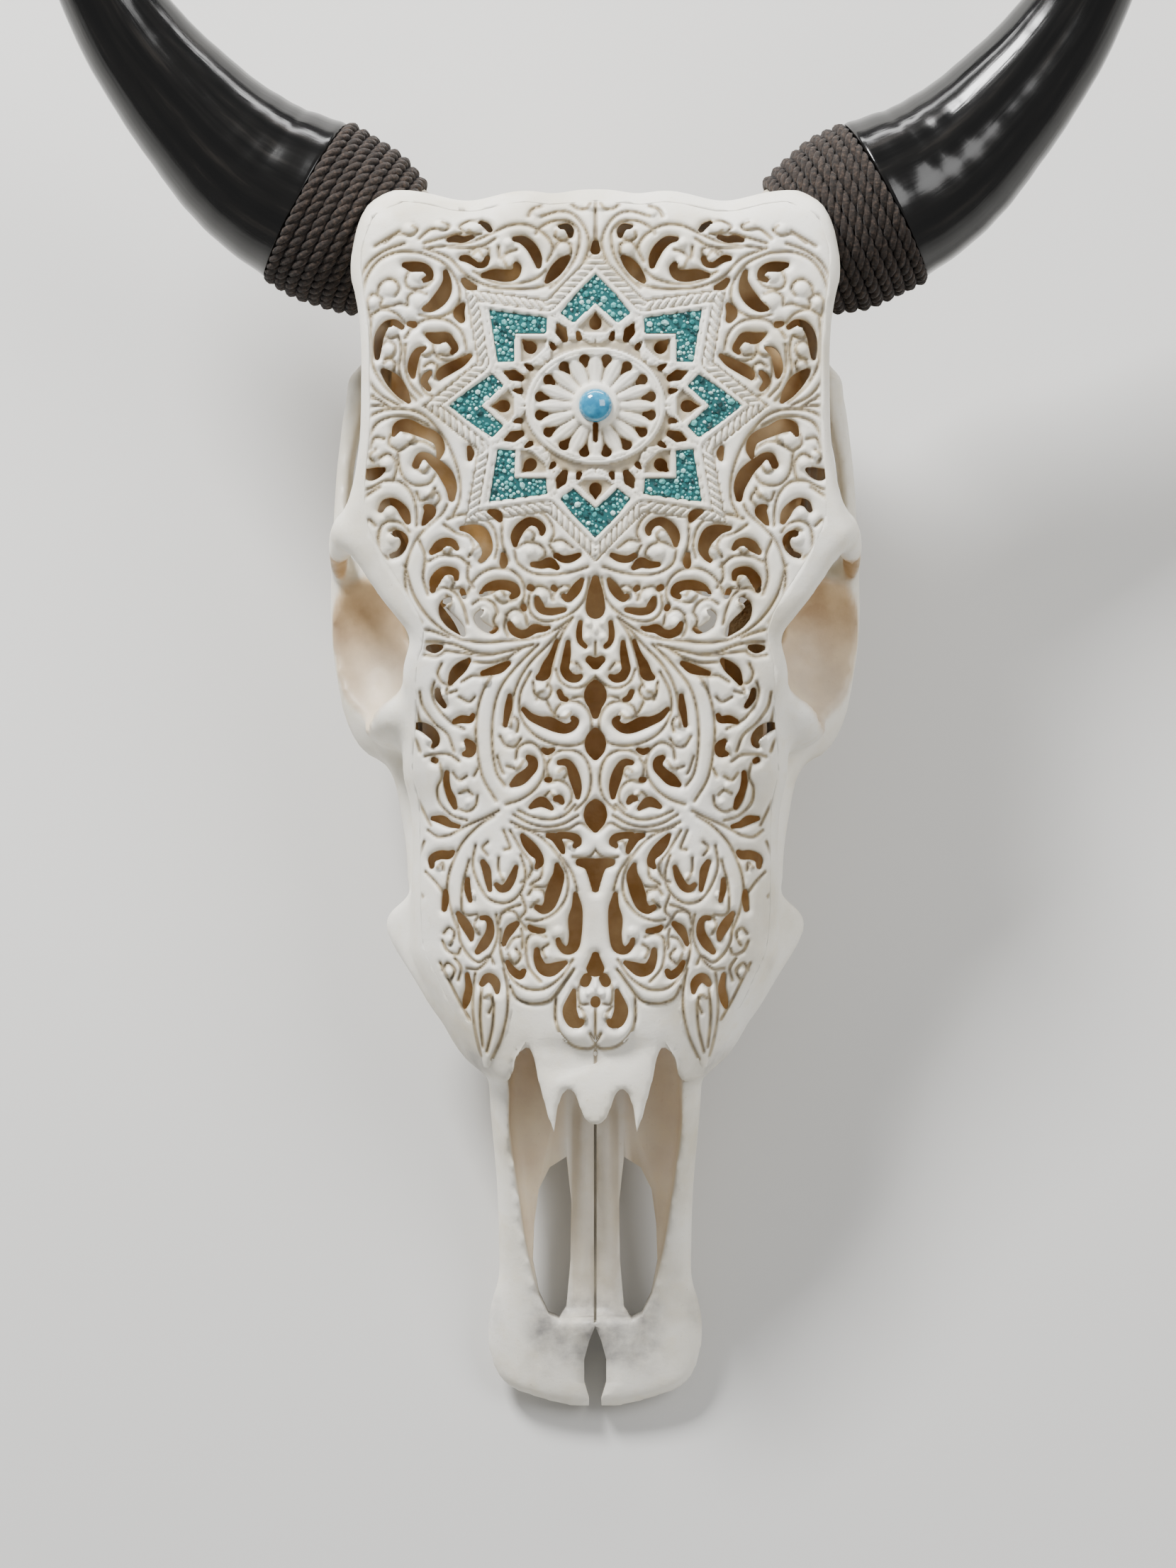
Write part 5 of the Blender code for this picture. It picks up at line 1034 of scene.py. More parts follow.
def add_side_masses(bm, side):
    """Cheek arch, orbit, horn core, condyle and processes of one side."""

    def sweep(path, count):
        placed = path if side < 0.0 else mirror_path(path)
        add_sweep(bm, resampled(placed, count))

    # The cheek arch: facial tuber, outer rim of the orbit, root on the braincase
    sweep((
        (-68.0, -32.0, -66.0, 10.0, 13.0), (-73.0, -8.0, -70.0, 7.0, 13.0),
        (-78.5, 16.0, -76.0, 7.0, 13.0), (-93.0, 34.0, -80.0, 6.5, 13.0),
        (-103.5, 56.0, -83.0, 5.0, 13.0), (-106.8, 88.0, -85.0, 4.0, 12.0),
        (-105.8, 124.0, -88.0, 3.6, 11.0), (-103.8, 148.0, -91.0, 3.8, 10.0),
        (-98.0, 172.0, -92.0, 6.0, 10.0), (-84.0, 188.0, -92.0, 10.0, 11.0),
        (-62.0, 196.0, -92.0, 14.0, 14.0), (-44.0, 198.0, -92.0, 14.0, 14.0),
    ), 60)
    add_ellipsoid(bm, (side * 97.5, 175.0, -90.0), (7.0, 8.0, 11.0))
    # Facial tuber, an angular corner of the cheek
    outline = TUBER_EDGE if side < 0.0 else [(-x, y) for x, y in reversed(TUBER_EDGE)]
    add_prism(
        bm, outline,
        lambda x, y: -84.0 + 0.7 * (abs(x) - 62.0),
        lambda x, y: -40.0 - 0.75 * (abs(x) - 62.0),
    )
    # The bar behind the orbit
    sweep((
        (-99.0, 112.0, -10.0, 8.0, 8.0), (-104.0, 107.5, -30.0, 5.0, 9.0), (-106.0, 104.0, -55.0, 4.0, 9.0),
        (-106.8, 102.0, -84.0, 4.0, 12.0),
    ), 16)
    # The floor of the orbit, which the socket is cut into
    add_ellipsoid(bm, (side * 89.0, 62.0, -80.0), (19.5, 44.0, 15.0))
    add_ellipsoid(bm, (side * 80.0, 38.0, -54.0), (17.0, 15.0, 36.0), turn=-0.35 * side)
    # Horn core, and the swelling that it grows from
    rim, axis = horn_foot(side)
    core = []
    for along, radius in (
        (-62.0, CORE_RADIUS), (-3.0, CORE_RADIUS), (0.0, CORE_TIP_RADIUS),
        (CORE_REACH, CORE_TIP_RADIUS - 3.0),
    ):
        core.append((*(rim + axis * along), radius, radius))
    add_sweep(bm, core, sides=32)
    add_ellipsoid(bm, (side * 74.0, 222.0, -52.0), (30.0, 26.0, 36.0))
    # Condyle, jugular process, ear bulla and pterygoid plate
    add_ellipsoid(bm, (side * 26.0, 226.0, -128.0), (17.0, 16.0, 24.0), turn=0.3 * side)
    sweep((
        (-50.0, 212.0, -104.0, 17.0, 11.0), (-50.0, 207.0, -130.0, 12.0, 8.0),
        (-47.0, 200.0, -155.0, 7.5, 6.0), (-45.0, 195.0, -184.0, 6.0, 5.5),
    ), 18)
    add_ellipsoid(bm, (side * 37.0, 166.0, -136.0), (13.0, 19.0, 17.0))
    sweep((
        (-21.0, 50.0, -118.0, 3.5, 16.0), (-21.0, 76.0, -118.0, 3.2, 24.0),
        (-21.0, 104.0, -116.0, 3.2, 26.0), (-19.0, 128.0, -116.0, 4.0, 16.0),
    ), 20)


def cavity_cutter():
    """The nasal cavity and the sinus behind the forehead."""
    bm = bmesh.new()
    rings = []
    for y in even_places(CAVITY_STATIONS, 60):
        half_width, lid, floor = smooth_step(CAVITY_STATIONS, y)
        ring = []
        for x, _, z in oval_ring(y, half_width, lid, floor, square=3.4, sides=40):
            lid_here = face_height(x, y) - ROOF_WALL
            ring.append((x, y, min(z, lid_here) if y > -97.0 else z))
        rings.append(ring)
    skin_rings(bm, rings)
    return make_piece(bm, "cavity")


def trough_cutter():
    """The open trough of the muzzle."""
    bm = bmesh.new()
    left, right = both_sides(TROUGH_EDGE)
    add_prism(bm, left + right, -76.0, 20.0)
    return make_piece(bm, "trough")


def orbit_cutter():
    """The eye sockets."""
    bm = bmesh.new()
    for side in (-1.0, 1.0):
        add_ellipsoid(bm, (side * ORBIT_CENTRE[0], *ORBIT_CENTRE[1:]), ORBIT_RADII, sides=36)
    return make_piece(bm, "orbits")


def passage_cutter():
    """The gaps beside the orbits' floors, the choana and the foramen magnum."""
    bm = bmesh.new()
    for side in (-1.0, 1.0):
        add_ellipsoid(bm, (side * 71.0, 78.0, -82.0), (8.0, 17.0, 62.0))
    add_ellipsoid(bm, (0.0, 66.0, -110.0), (15.0, 34.0, 12.0))
    add_ellipsoid(bm, (0.0, 236.0, -116.0), (17.0, 46.0, 15.0))
    return make_piece(bm, "passages")


def palate_cutter():
    """The hollow between the tooth rows."""
    bm = bmesh.new()
    path = []
    for y in (-128.0, -112.0, -90.0, -50.0, 0.0, 40.0, 66.0):
        half_width = 24.0 if y < -120.0 else 35.0 + 0.03 * (y + 90.0)
        path.append((0.0, y, rest_height(y) + 2.0, half_width, 23.0))
    add_sweep(bm, resampled(path, 24), sides=28)
    return make_piece(bm, "palate_vault")


def window_cutter(inset):
    """The plain roof inside the carved field, which the carved shell takes the place of."""
    bm = bmesh.new()
    left = []
    start, stop = WINDOW_FRONT, CARVED_STATIONS[-1][0] - inset
    steps = 48
    for step in range(steps + 1):
        y = start + (stop - start) * step / steps
        corner = 4.0 * (1.0 - float(softened(y, start, start + 7.0)))
        left.append((-(smooth_step(CARVED_STATIONS, y)[0] - inset - corner), y))
    right = [(-x, y) for x, y in reversed(left)]
    across = [(left[-1][0] * (1.0 - step / 8.0), stop) for step in range(1, 16)]
    drawn = [(x, y - float(poll_dip(x, y))) for x, y in left + across + right]
    add_prism(bm, drawn, lambda x, y: face_height(x, y) - WINDOW_DEPTH, 20.0)
    return make_piece(bm, "window")


def added_bone():
    """What joins the face once it is hollow: the forked nasal tips and the two rods down the muzzle."""
    bm = bmesh.new()
    left, right = both_sides(NASAL_TIP)
    add_prism(
        bm, left + right[1:],
        lambda x, y: face_height(x, max(y, -97.0)) - 6.5 + 0.02 * (y + 82.0),
        lambda x, y: face_height(x, max(y, -97.0)) + 0.04 * (y + 82.0),
    )
    for side in (-1.0, 1.0):
        rod = [(side * x, y, z, width, 5.0) for x, y, z, width in ROD_STATIONS]
        add_sweep(bm, resampled(rod, 24), sides=16)
    return make_piece(bm, "added_bone")


def slot_cutter():
    """The slots through the muzzle's floor and the gap between its tips."""
    bm = bmesh.new()
    for outline in both_sides(PALATE_SLOT):
        add_prism(bm, outline, -110.0, -50.0)
    add_prism(bm, TIP_GAP, -110.0, -50.0)
    crack = ((-0.55, -214.5), (0.55, -214.5), (0.55, -124.0), (-0.55, -124.0))
    add_prism(bm, crack, -77.5, -50.0)
    return make_piece(bm, "muzzle_slots")


def collar_cutter():
    """The space that the rope and the horn's foot take beside the skull."""
    bm = bmesh.new()
    for side in (-1.0, 1.0):
        rim, axis = horn_foot(side)
        profile = [(ROPE_STATIONS[0][0] - 1.0, CORE_RADIUS - 0.5)]
        for along, radius in ROPE_STATIONS[::2]:
            profile.append((along, radius + 1.2))
        profile += [
            (60.0, 38.7), (60.0, CORE_TIP_RADIUS - 0.5),
            (-1.0, CORE_TIP_RADIUS - 0.5), (-1.5, CORE_RADIUS - 0.5),
        ]
        across = axis.cross(Vector((0.0, 0.0, 1.0))).normalized()
        verts = [bm.verts.new(rim + axis * along + across * radius) for along, radius in profile]
        edges = [bm.edges.new((verts[index - 1], verts[index])) for index in range(len(verts))]
        bmesh.ops.spin(bm, geom=verts + edges, cent=rim, axis=axis, dvec=(0.0, 0.0, 0.0),
                       angle=2.0 * math.pi, steps=48, use_merge=True)
    return make_piece(bm, "collar_clearance")


def tooth_places():
    """Name, centre and half sizes of every tooth, front to back on each side."""
    places = []
    for side, word in ((-1.0, "left"), (1.0, "right")):
        y = FRONT_TOOTH_Y
        for number, (length, width, distance) in enumerate(TEETH, start=1):
            centre = Vector((side * distance, y + 0.5 * length))
            places.append((f"tooth_{word}_{number}", centre, 0.5 * width, 0.5 * length - 0.5))
            y += length + 1.0
    return places


def tooth_ring(centre, half_width, half_length, height, sides=48):
    """A rounded cross-section with a fold down each side, height measured from the rest surface."""
    ring = []
    for step in range(sides):
        angle = 2.0 * math.pi * step / sides
        x = half_width * signed_power(math.cos(angle), 0.62)
        y = half_length * signed_power(math.sin(angle), 0.62)
        fold = 1.0 - 0.13 * math.exp(-(y / (0.22 * half_length)) ** 2) * abs(math.cos(angle))
        ring.append((centre.x + x * fold, centre.y + y, rest_height(centre.y + y) + height))
    return ring


def socket_cutter():
    """The sockets that the teeth stand in."""
    bm = bmesh.new()
    for _, centre, half_width, half_length in tooth_places():
        skin_rings(bm, [
            tooth_ring(centre, half_width + FIT_GAP, half_length + FIT_GAP, height, 32)
            for height in (-6.0, CROWN_HEIGHT + ROOT_DEPTH + FIT_GAP)
        ])
    return make_piece(bm, "tooth_sockets")


def rest_cutter():
    """Everything below the rest surface, so that the jugular processes end flat on it."""
    bm = bmesh.new()
    outline = ((-300.0, -300.0), (300.0, -300.0), (300.0, 300.0), (-300.0, 300.0))
    add_prism(bm, outline, lambda x, y: rest_height(y) - 60.0, lambda x, y: rest_height(y))
    return make_piece(bm, "rest_surface")


def cut(piece, cutter, operation="DIFFERENCE"):
    """An exact Boolean with one cutter, which is handed back for settle() to remove."""
    step = piece.modifiers.new(cutter.name, "BOOLEAN")
    step.object = cutter
    step.operation = operation
    step.solver = "EXACT"
    return cutter


def fuse(piece, size):
    """One skin over overlapping masses."""
    step = piece.modifiers.new("fuse", "REMESH")
    step.mode = "VOXEL"
    step.voxel_size = size


def softened(value, low, high):
    """A smooth rise from nought to one between two values."""
    share = np.clip((value - low) / (high - low), 0.0, 1.0)
    return share * share * (3.0 - 2.0 * share)


def stain_bone(mesh):
    """Where the bone is brown inside and tan in the orbits, with painted shade in the orbits' upper parts,
    the fossae, the muzzle and deep down, and soot at the muzzle.
    """
    places = corner_array(mesh)
    x, y, z = np.abs(places[:, 0]), places[:, 1], places[:, 2]

    def along(stations, column, key=0):
        ordered = sorted(stations, key=lambda row: row[key])
        return np.interp(y, [row[key] for row in ordered], [row[column] for row in ordered])

    def within(values, low, full, gone, end):
        """Nought to one between the first two values, and back between the last two."""
        return softened(values, low, full) * (1.0 - softened(values, gone, end))

    # The nasal cavity and the sinus, inside the roof and the flanks
    half_width, lid, floor = (along(CAVITY_STATIONS, column) for column in (1, 2, 3))
    face_width, roll, square, crown, underside, under_width = (
        along(FACE_STATIONS, column) for column in range(1, 7))
    share = np.clip(x / face_width, 0.0, 1.0)
    roof = crown - roll * (1.0 - (1.0 - share ** square) ** (1.0 / square))
    drop = np.clip((crown - roll - z) / (crown - roll - underside), 0.0, 0.85)
    flank = (face_width + (under_width - face_width) * drop) * (1.0 - drop ** 4) ** 0.225
    gap = within(y, 60.0, 66.0, 84.0, 92.0) * (1.0 - softened(x, 60.0, 66.0))
    below = 3.0 + 16.0 * (1.0 - softened(x, 16.0, 22.0)) + 50.0 * gap
    inner = softened(half_width + 9.0 - x, 0.0, 2.0) * softened(lid - z, -1.0, 1.5)
    inner *= softened(z - floor + below, 0.0, 2.0) * softened(roof - z, 3.0, 5.0)
    inner *= within(y, -100.0, -94.0, 226.0, 234.0)
    inner *= np.where(drop > 0.0, softened(flank - x, 2.5, 4.5), 1.0)
    # The walls of the open trough
    trough = -along(TROUGH_EDGE, 0, key=1)
    crest = along(MUZZLE_STATIONS, 2)
    muzzle = softened(trough + 1.2 - x, 0.0, 1.2) * softened(crest - 3.0 - z, 0.0, 8.0)
    muzzle *= within(y, -208.0, -180.0, -100.0, -92.0) * softened(x, 10.0, 16.0)
    paint(mesh, "inner", np.maximum(inner, 0.45 * muzzle))
    # The orbits: tan inside each socket, with painted shade making it stronger towards the socket's upper
    # part
    reach = np.sqrt(sum(
        ((value - centre) / radius) ** 2
        for value, centre, radius in zip((x, y, z), ORBIT_CENTRE, ORBIT_RADII)))
    tan = (1.0 - softened(reach, 1.03, 1.12)) * softened(-z, 8.0, 20.0)
    paint(mesh, "tan", tan * (0.55 + 0.4 * softened(y, 45.0, 88.0)))
    # Painted shade: grey in the temporal fossae under the roof's edge, on the rods down in the muzzle's
    # trough and on whatever lies deep below the face
    fossa = softened(-z, 14.0, 34.0) * softened(y, 92.0, 112.0) * (1.0 - softened(x, 96.0, 101.0))
    rods = within(-y, 118.0, 132.0, 196.0, 214.0) * (1.0 - softened(x, 9.0, 11.0)) * (z < -60.0)
    deep_shade = softened(-z, 60.0, 110.0) * (y > -112.0)
    paint(mesh, "fossa", np.maximum(np.maximum(0.9 * fossa, 0.6 * rods), 0.35 * deep_shade))
    # Soot with painted shade: grey in the premaxillae's hollow, at the front corners of the cheeks and at
    # the muzzle's outer edges
    soot_and_shade = within(-y, 190.0, 206.0, 226.0, 244.0) * (1.0 - softened(x, 23.0, 33.0))
    corner = within(-y, 97.0, 103.0, 108.0, 113.0) * softened(x, 40.0, 46.0)
    edge = within(-y, 196.0, 206.0, 214.0, 222.0) * softened(x, 36.0, 42.0)
    paint(mesh, "soot_and_shade", np.maximum(np.maximum(soot_and_shade, 0.8 * corner), 0.5 * edge))
    paint(mesh, "dirt", np.zeros(len(x)))


def grow_bone():
    """The bone with its hollows, before the carved roof is let in."""
    skull = bone_masses()
    fuse(skull, 3.0)
    hollows = (cavity_cutter, trough_cutter, orbit_cutter, passage_cutter, palate_cutter)
    cutters = [cut(skull, cutter()) for cutter in hollows]
    cutters.append(cut(skull, added_bone(), "UNION"))
    fuse(skull, 2.1)
    soften = skull.modifiers.new("soften", "SMOOTH")
    soften.factor = 0.5
    soften.iterations = 4
    mesh = settle(skull, cutters)
    places = corner_array(mesh)
    places[:, 1] -= poll_dip(places[:, 0], places[:, 1]) * softened(places[:, 2], -110.0, -70.0)
    mesh.vertices.foreach_set("co", places.ravel())
    mesh.update()
    thin = skull.modifiers.new("thin", "DECIMATE")
    thin.ratio = 0.36
    return skull


def fit_bone(skull, materials):
    """Openings and sockets cut to their exact places, and the bone stained and set down."""
    cutters = [cut(skull, window_cutter(WINDOW_INSET))]
    for cutter in (collar_cutter, slot_cutter, socket_cutter, rest_cutter):
        cutters.append(cut(skull, cutter()))
    mesh = settle(skull, cutters)
    stain_bone(mesh)
    set_down(skull, materials, "bone", "skull")


# The carved shell


def eased_chain(points, parts=4):
    """A smooth curve through traced points, each with its numbers."""
    points = np.array(points, dtype=float)
    if len(points) < 3:
        return points
    padded = np.vstack((2 * points[0] - points[1], points, 2 * points[-1] - points[-2]))
    chain = []
    for index in range(1, len(padded) - 2):
        a, b, c, d = padded[index - 1:index + 3]
        for t in np.arange(parts) / parts:
            chain.append(0.5 * (
                2 * b + (c - a) * t + (2 * a - 5 * b + 4 * c - d) * t ** 2
                + (3 * b - a - 3 * c + d) * t ** 3))
    chain.append(points[-1])
    return np.array(chain)


def nearest(field, x, y, chain, reach):
    """Bring a distance field down to a chain of points with half widths."""
    for start, end in zip(chain, chain[1:]):
        low_y = min(start[1], end[1]) - reach
        high_y = max(start[1], end[1]) + reach
        first, last = np.searchsorted(y, (low_y, high_y))
        if first >= last:
            continue
        px, py = x[first:last] - start[0], y[first:last, None] - start[1]
        run = end[:2] - start[:2]
        length = max(float(run @ run), 1e-9)
        t = np.clip((px * run[0] + py * run[1]) / length, 0.0, 1.0)
        away = np.hypot(px - t * run[0], py - t * run[1]) - (start[2] + t * (end[2] - start[2]))
        field[first:last] = np.minimum(field[first:last], away)


def stretched(x, y):
    """A place in the star, which is drawn round and then stretched across the face."""
    return Vector((x * STAR_STRETCH, y))


def star_turn(index):
    """Outward and sideways directions of one point of the star."""
    angle = math.radians(90.0) + index * 2.0 * math.pi / STAR_POINTS
    return Vector((math.cos(angle), math.sin(angle))), Vector((-math.sin(angle), math.cos(angle)))


def star_corners():
    """Tips and notches round the star, from its centre."""
    corners = []
    for index in range(STAR_POINTS):
        reach = STAR_DIAGONAL if index % 2 else STAR_UPRIGHT
        corners.append(stretched(*(star_turn(index)[0] * reach)))
        corners.append(stretched(*(star_turn(index + 0.5)[0] * STAR_NOTCH)))
    return corners


def chip_field(index):
    """The chevron of crushed stone in one point of the star, from the star's centre."""
    out, across = star_turn(index)
    return [stretched(*(out * along + across * sideways)) for along, sideways in CHEVRON]


def star_line(index, *stops):
    """A line across the star: (distance out, sideways, half width) from one point's axis."""
    out, across = star_turn(index)
    line = []
    for along, sideways, width in stops:
        place = stretched(*(out * along + across * sideways))
        line.append((place.x, place.y + STAR_Y, width))
    return np.array(line)


def star_openings():
    """Openings between the straps and between the petals' tips."""
    chains = []
    for index in range(STAR_POINTS):
        chains.append(star_line(index, (37.4, 0.0, 0.4), (33.8, 0.0, 2.5), (33.2, 0.0, 2.5)))
        chains.append(star_line(index + 0.5, (35.8, 0.0, 0.5), (32.3, 0.0, 2.3), (29.4, 0.0, 1.5)))
        for side in (-0.27, 0.27):
            chains.append(star_line(index + side, (30.2, 0.0, 0.7), (28.2, 0.0, 1.3)))
    for petal in range(PETALS):
        angle = 2.0 * math.pi * (petal + 0.5) / PETALS
        chains.append(np.array([
            (RING_ACROSS * share * math.cos(angle), STAR_Y + RING_ALONG * share * math.sin(angle), width)
            for share, width in ((0.66, 0.2), (0.74, 1.1), (0.81, 2.2))
        ]))
    return chains


def star_straps():
    """The squares and the crossing strands that lace the star's middle."""
    lines = []
    for index in range(STAR_POINTS):
        lines.append(star_line(index, (40.0, 0.0, 0.0), (20.0, 20.0, 0.0), (0.0, 40.0, 0.0)))
        for side in (-1.0, 1.0):
            lines.append(star_line(index + 0.5, (39.5, 0.8 * side, 0.0), (25.0, -9.0 * side, 0.0)))
    return lines


def outline_distance(x, y, corners):
    """Distance to a closed outline, positive inside, and how far round it the nearest point lies."""
    away = np.full(x.shape, 1e9)
    round_it = np.zeros(x.shape)
    inside = np.zeros(x.shape, dtype=bool)
    travelled = 0.0
    for index, start in enumerate(corners):
        end = corners[(index + 1) % len(corners)]
        run_x, run_y = end[0] - start[0], end[1] - start[1]
        length = math.hypot(run_x, run_y)
        px, py = x - start[0], y - start[1]
        t = np.clip((px * run_x + py * run_y) / length ** 2, 0.0, 1.0)
        here = np.hypot(px - t * run_x, py - t * run_y)
        closer = here < away
        away = np.where(closer, here, away)
        round_it = np.where(closer, travelled + t * length, round_it)
        crosses = (start[1] > y) != (end[1] > y)
        inside ^= crosses & (x < run_x * (y - start[1]) / (run_y if run_y else 1e-9) + start[0])
        travelled += length
    return np.where(inside, away, -away), round_it


def rounded(distance, radius):
    """Height of a rounded edge: nought at the edge, one from so far in."""
    share = np.clip(distance / radius, 0.0, 1.0)
    return np.sqrt(1.0 - (1.0 - share) ** 2)


def bead_row(away, half_width, groove):
    """Height of a rounded strap with a fine groove down its middle, by distance from that middle."""
    return rounded(half_width - away, 0.8 * half_width) - 0.45 * np.exp(-(away / groove) ** 2)


def star_relief(x, y, height):
    """Bands, ring, petals and beds of the star, over the height of the other carving."""
    sx, sy = x, y - STAR_Y
    inset, round_it = outline_distance(sx, sy, star_corners())
    # The hatched band and the plain one inside it
    hatch = 0.5 + 0.5 * np.cos(2.0 * math.pi * (round_it + inset) / HATCH_PITCH)
    hatched = rounded(inset - 0.7, 1.4) * rounded(ROPE_BAND - inset, 1.2)
    star = BAND_GROUND + hatched * (2.1 - 1.9 * (1.0 - hatch) ** 1.5)
    plain = 2.0 * rounded(inset - ROPE_BAND - 0.2, 0.9) * rounded(PLAIN_BAND - inset, 0.9)
    star = np.where(inset >= ROPE_BAND, BAND_GROUND + plain, star)
    within = inset >= PLAIN_BAND
    star = np.where(within, STAR_GROUND, star)
    # The beds of the stones and the strap round each
    for index in range(STAR_POINTS):
        away, _ = outline_distance(sx, sy, chip_field(index))
        strap = LACE_GROUND + 1.9 * bead_row(np.abs(away + 1.2), 1.2, 0.2)
        star = np.where(within & (away > -2.4), np.maximum(star, strap), star)
        star = np.where(within & (away > 0.0), STONE_BED, star)
    beds = star <= STONE_BED
    straps = np.full(x.shape, 9.0)
    for line in star_straps():
        nearest(straps, x, y[:, 0], line, 4.0)
    laced = within & ~beds & (straps < LACE_HALF_WIDTH)
    strand = LACE_GROUND + 2.1 * bead_row(np.maximum(straps, 0.0), LACE_HALF_WIDTH, 0.3)
    star = np.where(laced, np.maximum(star, strand), star)
    # The ring and the petals that fan out to it
    mean = 0.5 * (RING_ACROSS + RING_ALONG)
    from_rim = (1.0 - np.hypot(sx / RING_ACROSS, sy / RING_ALONG)) * mean
    from_middle = np.abs(from_rim - 0.5 * RING_BAND)
    ring_width = 0.5 * RING_BAND + 0.3
    ring = LACE_GROUND + 2.5 * bead_row(from_middle, ring_width, 0.4)
    star = np.where(from_middle < ring_width, ring, star)
    angle = np.arctan2(sy / RING_ALONG, sx / RING_ACROSS)
    centre = np.hypot(sx, sy)
    ridge = np.abs(np.cos(0.5 * PETALS * angle))
    veins = 0.5 + 0.5 * np.cos(3.0 * PETALS * angle)
    petals = -2.2 + 2.2 * ridge ** 0.36 - 0.45 * (1.0 - veins) * softened(centre, 9.0, 14.0)
    star = np.where(from_rim >= RING_BAND + 0.2, petals, star)
    star = np.where(centre < COLLET_RADIUS, 0.1 + 1.5 * rounded(COLLET_RADIUS - centre, 1.8), star)
    star = np.where(centre < BEAD_RADIUS - 0.9, -1.0, star)
    return np.where(inset > 0.0, star, height), inset


def carve_fields(x, y):
    """Distance to the nearest opening and to the nearest cut line, and the knobs' height."""
    openings = np.full(x.shape, 30.0)
    lines = np.full(x.shape, 30.0)
    chains = [eased_chain(opening) + np.array((TRACE_SHIFT, 0.0, OPENING_EXTRA)) for opening in OPENINGS]
    chains += [eased_chain(opening) + np.array((0.0, 0.0, MIDLINE_EXTRA)) for opening in MIDLINE_OPENINGS]
    for chain in chains + list(star_openings()):
        nearest(openings, x, y, chain, OPENING_REACH)
    for line in CREASES:
        traced = [(point[0] + TRACE_SHIFT, point[1], 0.12) for point in line]
        nearest(lines, x, y, eased_chain(traced), LINE_REACH)
    for line in SEAMS:
        nearest(lines, x, y, np.array([(0.0, place, 0.1) for place in line]), LINE_REACH)
    knobs = np.full(x.shape, NO_KNOB)
    for knob_x, knob_y, radius in KNOBS:
        away = np.hypot(x - knob_x - TRACE_SHIFT, y[:, None] - knob_y) / radius
        dome = -1.7 + 3.1 * np.sqrt(np.clip(1.0 - away ** 2, 0.0, 1.0))
        knobs = np.maximum(knobs, np.where(away < 1.0, dome, NO_KNOB))
    return openings, lines, knobs


def poll_dip(x, y):
    """How far the poll's upper edge is drawn in between its corners and its middle."""
    across = np.abs(x)
    dip = 4.6 * np.exp(-((across - 52.0) / 15.0) ** 2) + 1.6 * np.exp(-((across - 17.0) / 8.0) ** 2)
    return dip * softened(y, 226.0, 247.0)


def shell_grid(surface):
    """The carved shell's left half: x and surface height of every row and column, and y of the rows."""
    first, last = CARVED_STATIONS[0][0], CARVED_STATIONS[-1][0]
    y = np.linspace(first, last, int((last - first) / GRID_STEP) + 1)
    columns = int(max(width for _, width in CARVED_STATIONS) / GRID_STEP) + 4
    x = np.empty((len(y), columns))
    floor = np.empty((len(y), columns))
    off = np.zeros((len(y), columns))
    for index, place in enumerate(y):
        border = smooth_step(CARVED_STATIONS, place)[0]
        probe = np.linspace(0.0, border, 120)
        half_width, roll, square, crown = smooth_step(FACE_STATIONS, place)[:4]
        level = crown - roll * (
            1.0 - (1.0 - np.clip(probe / half_width, 0.0, 1.0) ** square) ** (1.0 / square))
        travelled = np.concatenate(((0.0,), np.cumsum(np.hypot(np.diff(probe), np.diff(level)))))
        even = np.interp(np.linspace(0.0, travelled[-1], columns), travelled, probe)
        x[index] = -even[::-1]
        floor[index] = np.interp(even, probe, level)[::-1]
        # Where the smoothed bone lies beside the plain formula
        for column in range(0, columns, 3):
            dipped = place - float(poll_dip(x[index, column], place))
            hit = surface.ray_cast(Vector((x[index, column], dipped, 60.0)), Vector((0.0, 0.0, -1.0)))[0]
            gap = hit.z - floor[index, column] if hit else 0.0
            off[index, column:column + 3] = gap if abs(gap) < 5.0 else 0.0
    blur = np.hanning(15)[1:-1]
    blur /= blur.sum()
    for axis in (0, 1):
        off = np.apply_along_axis(lambda row: np.convolve(np.pad(row, 6, "edge"), blur, "valid"), axis, off)
    return x, y, floor + off


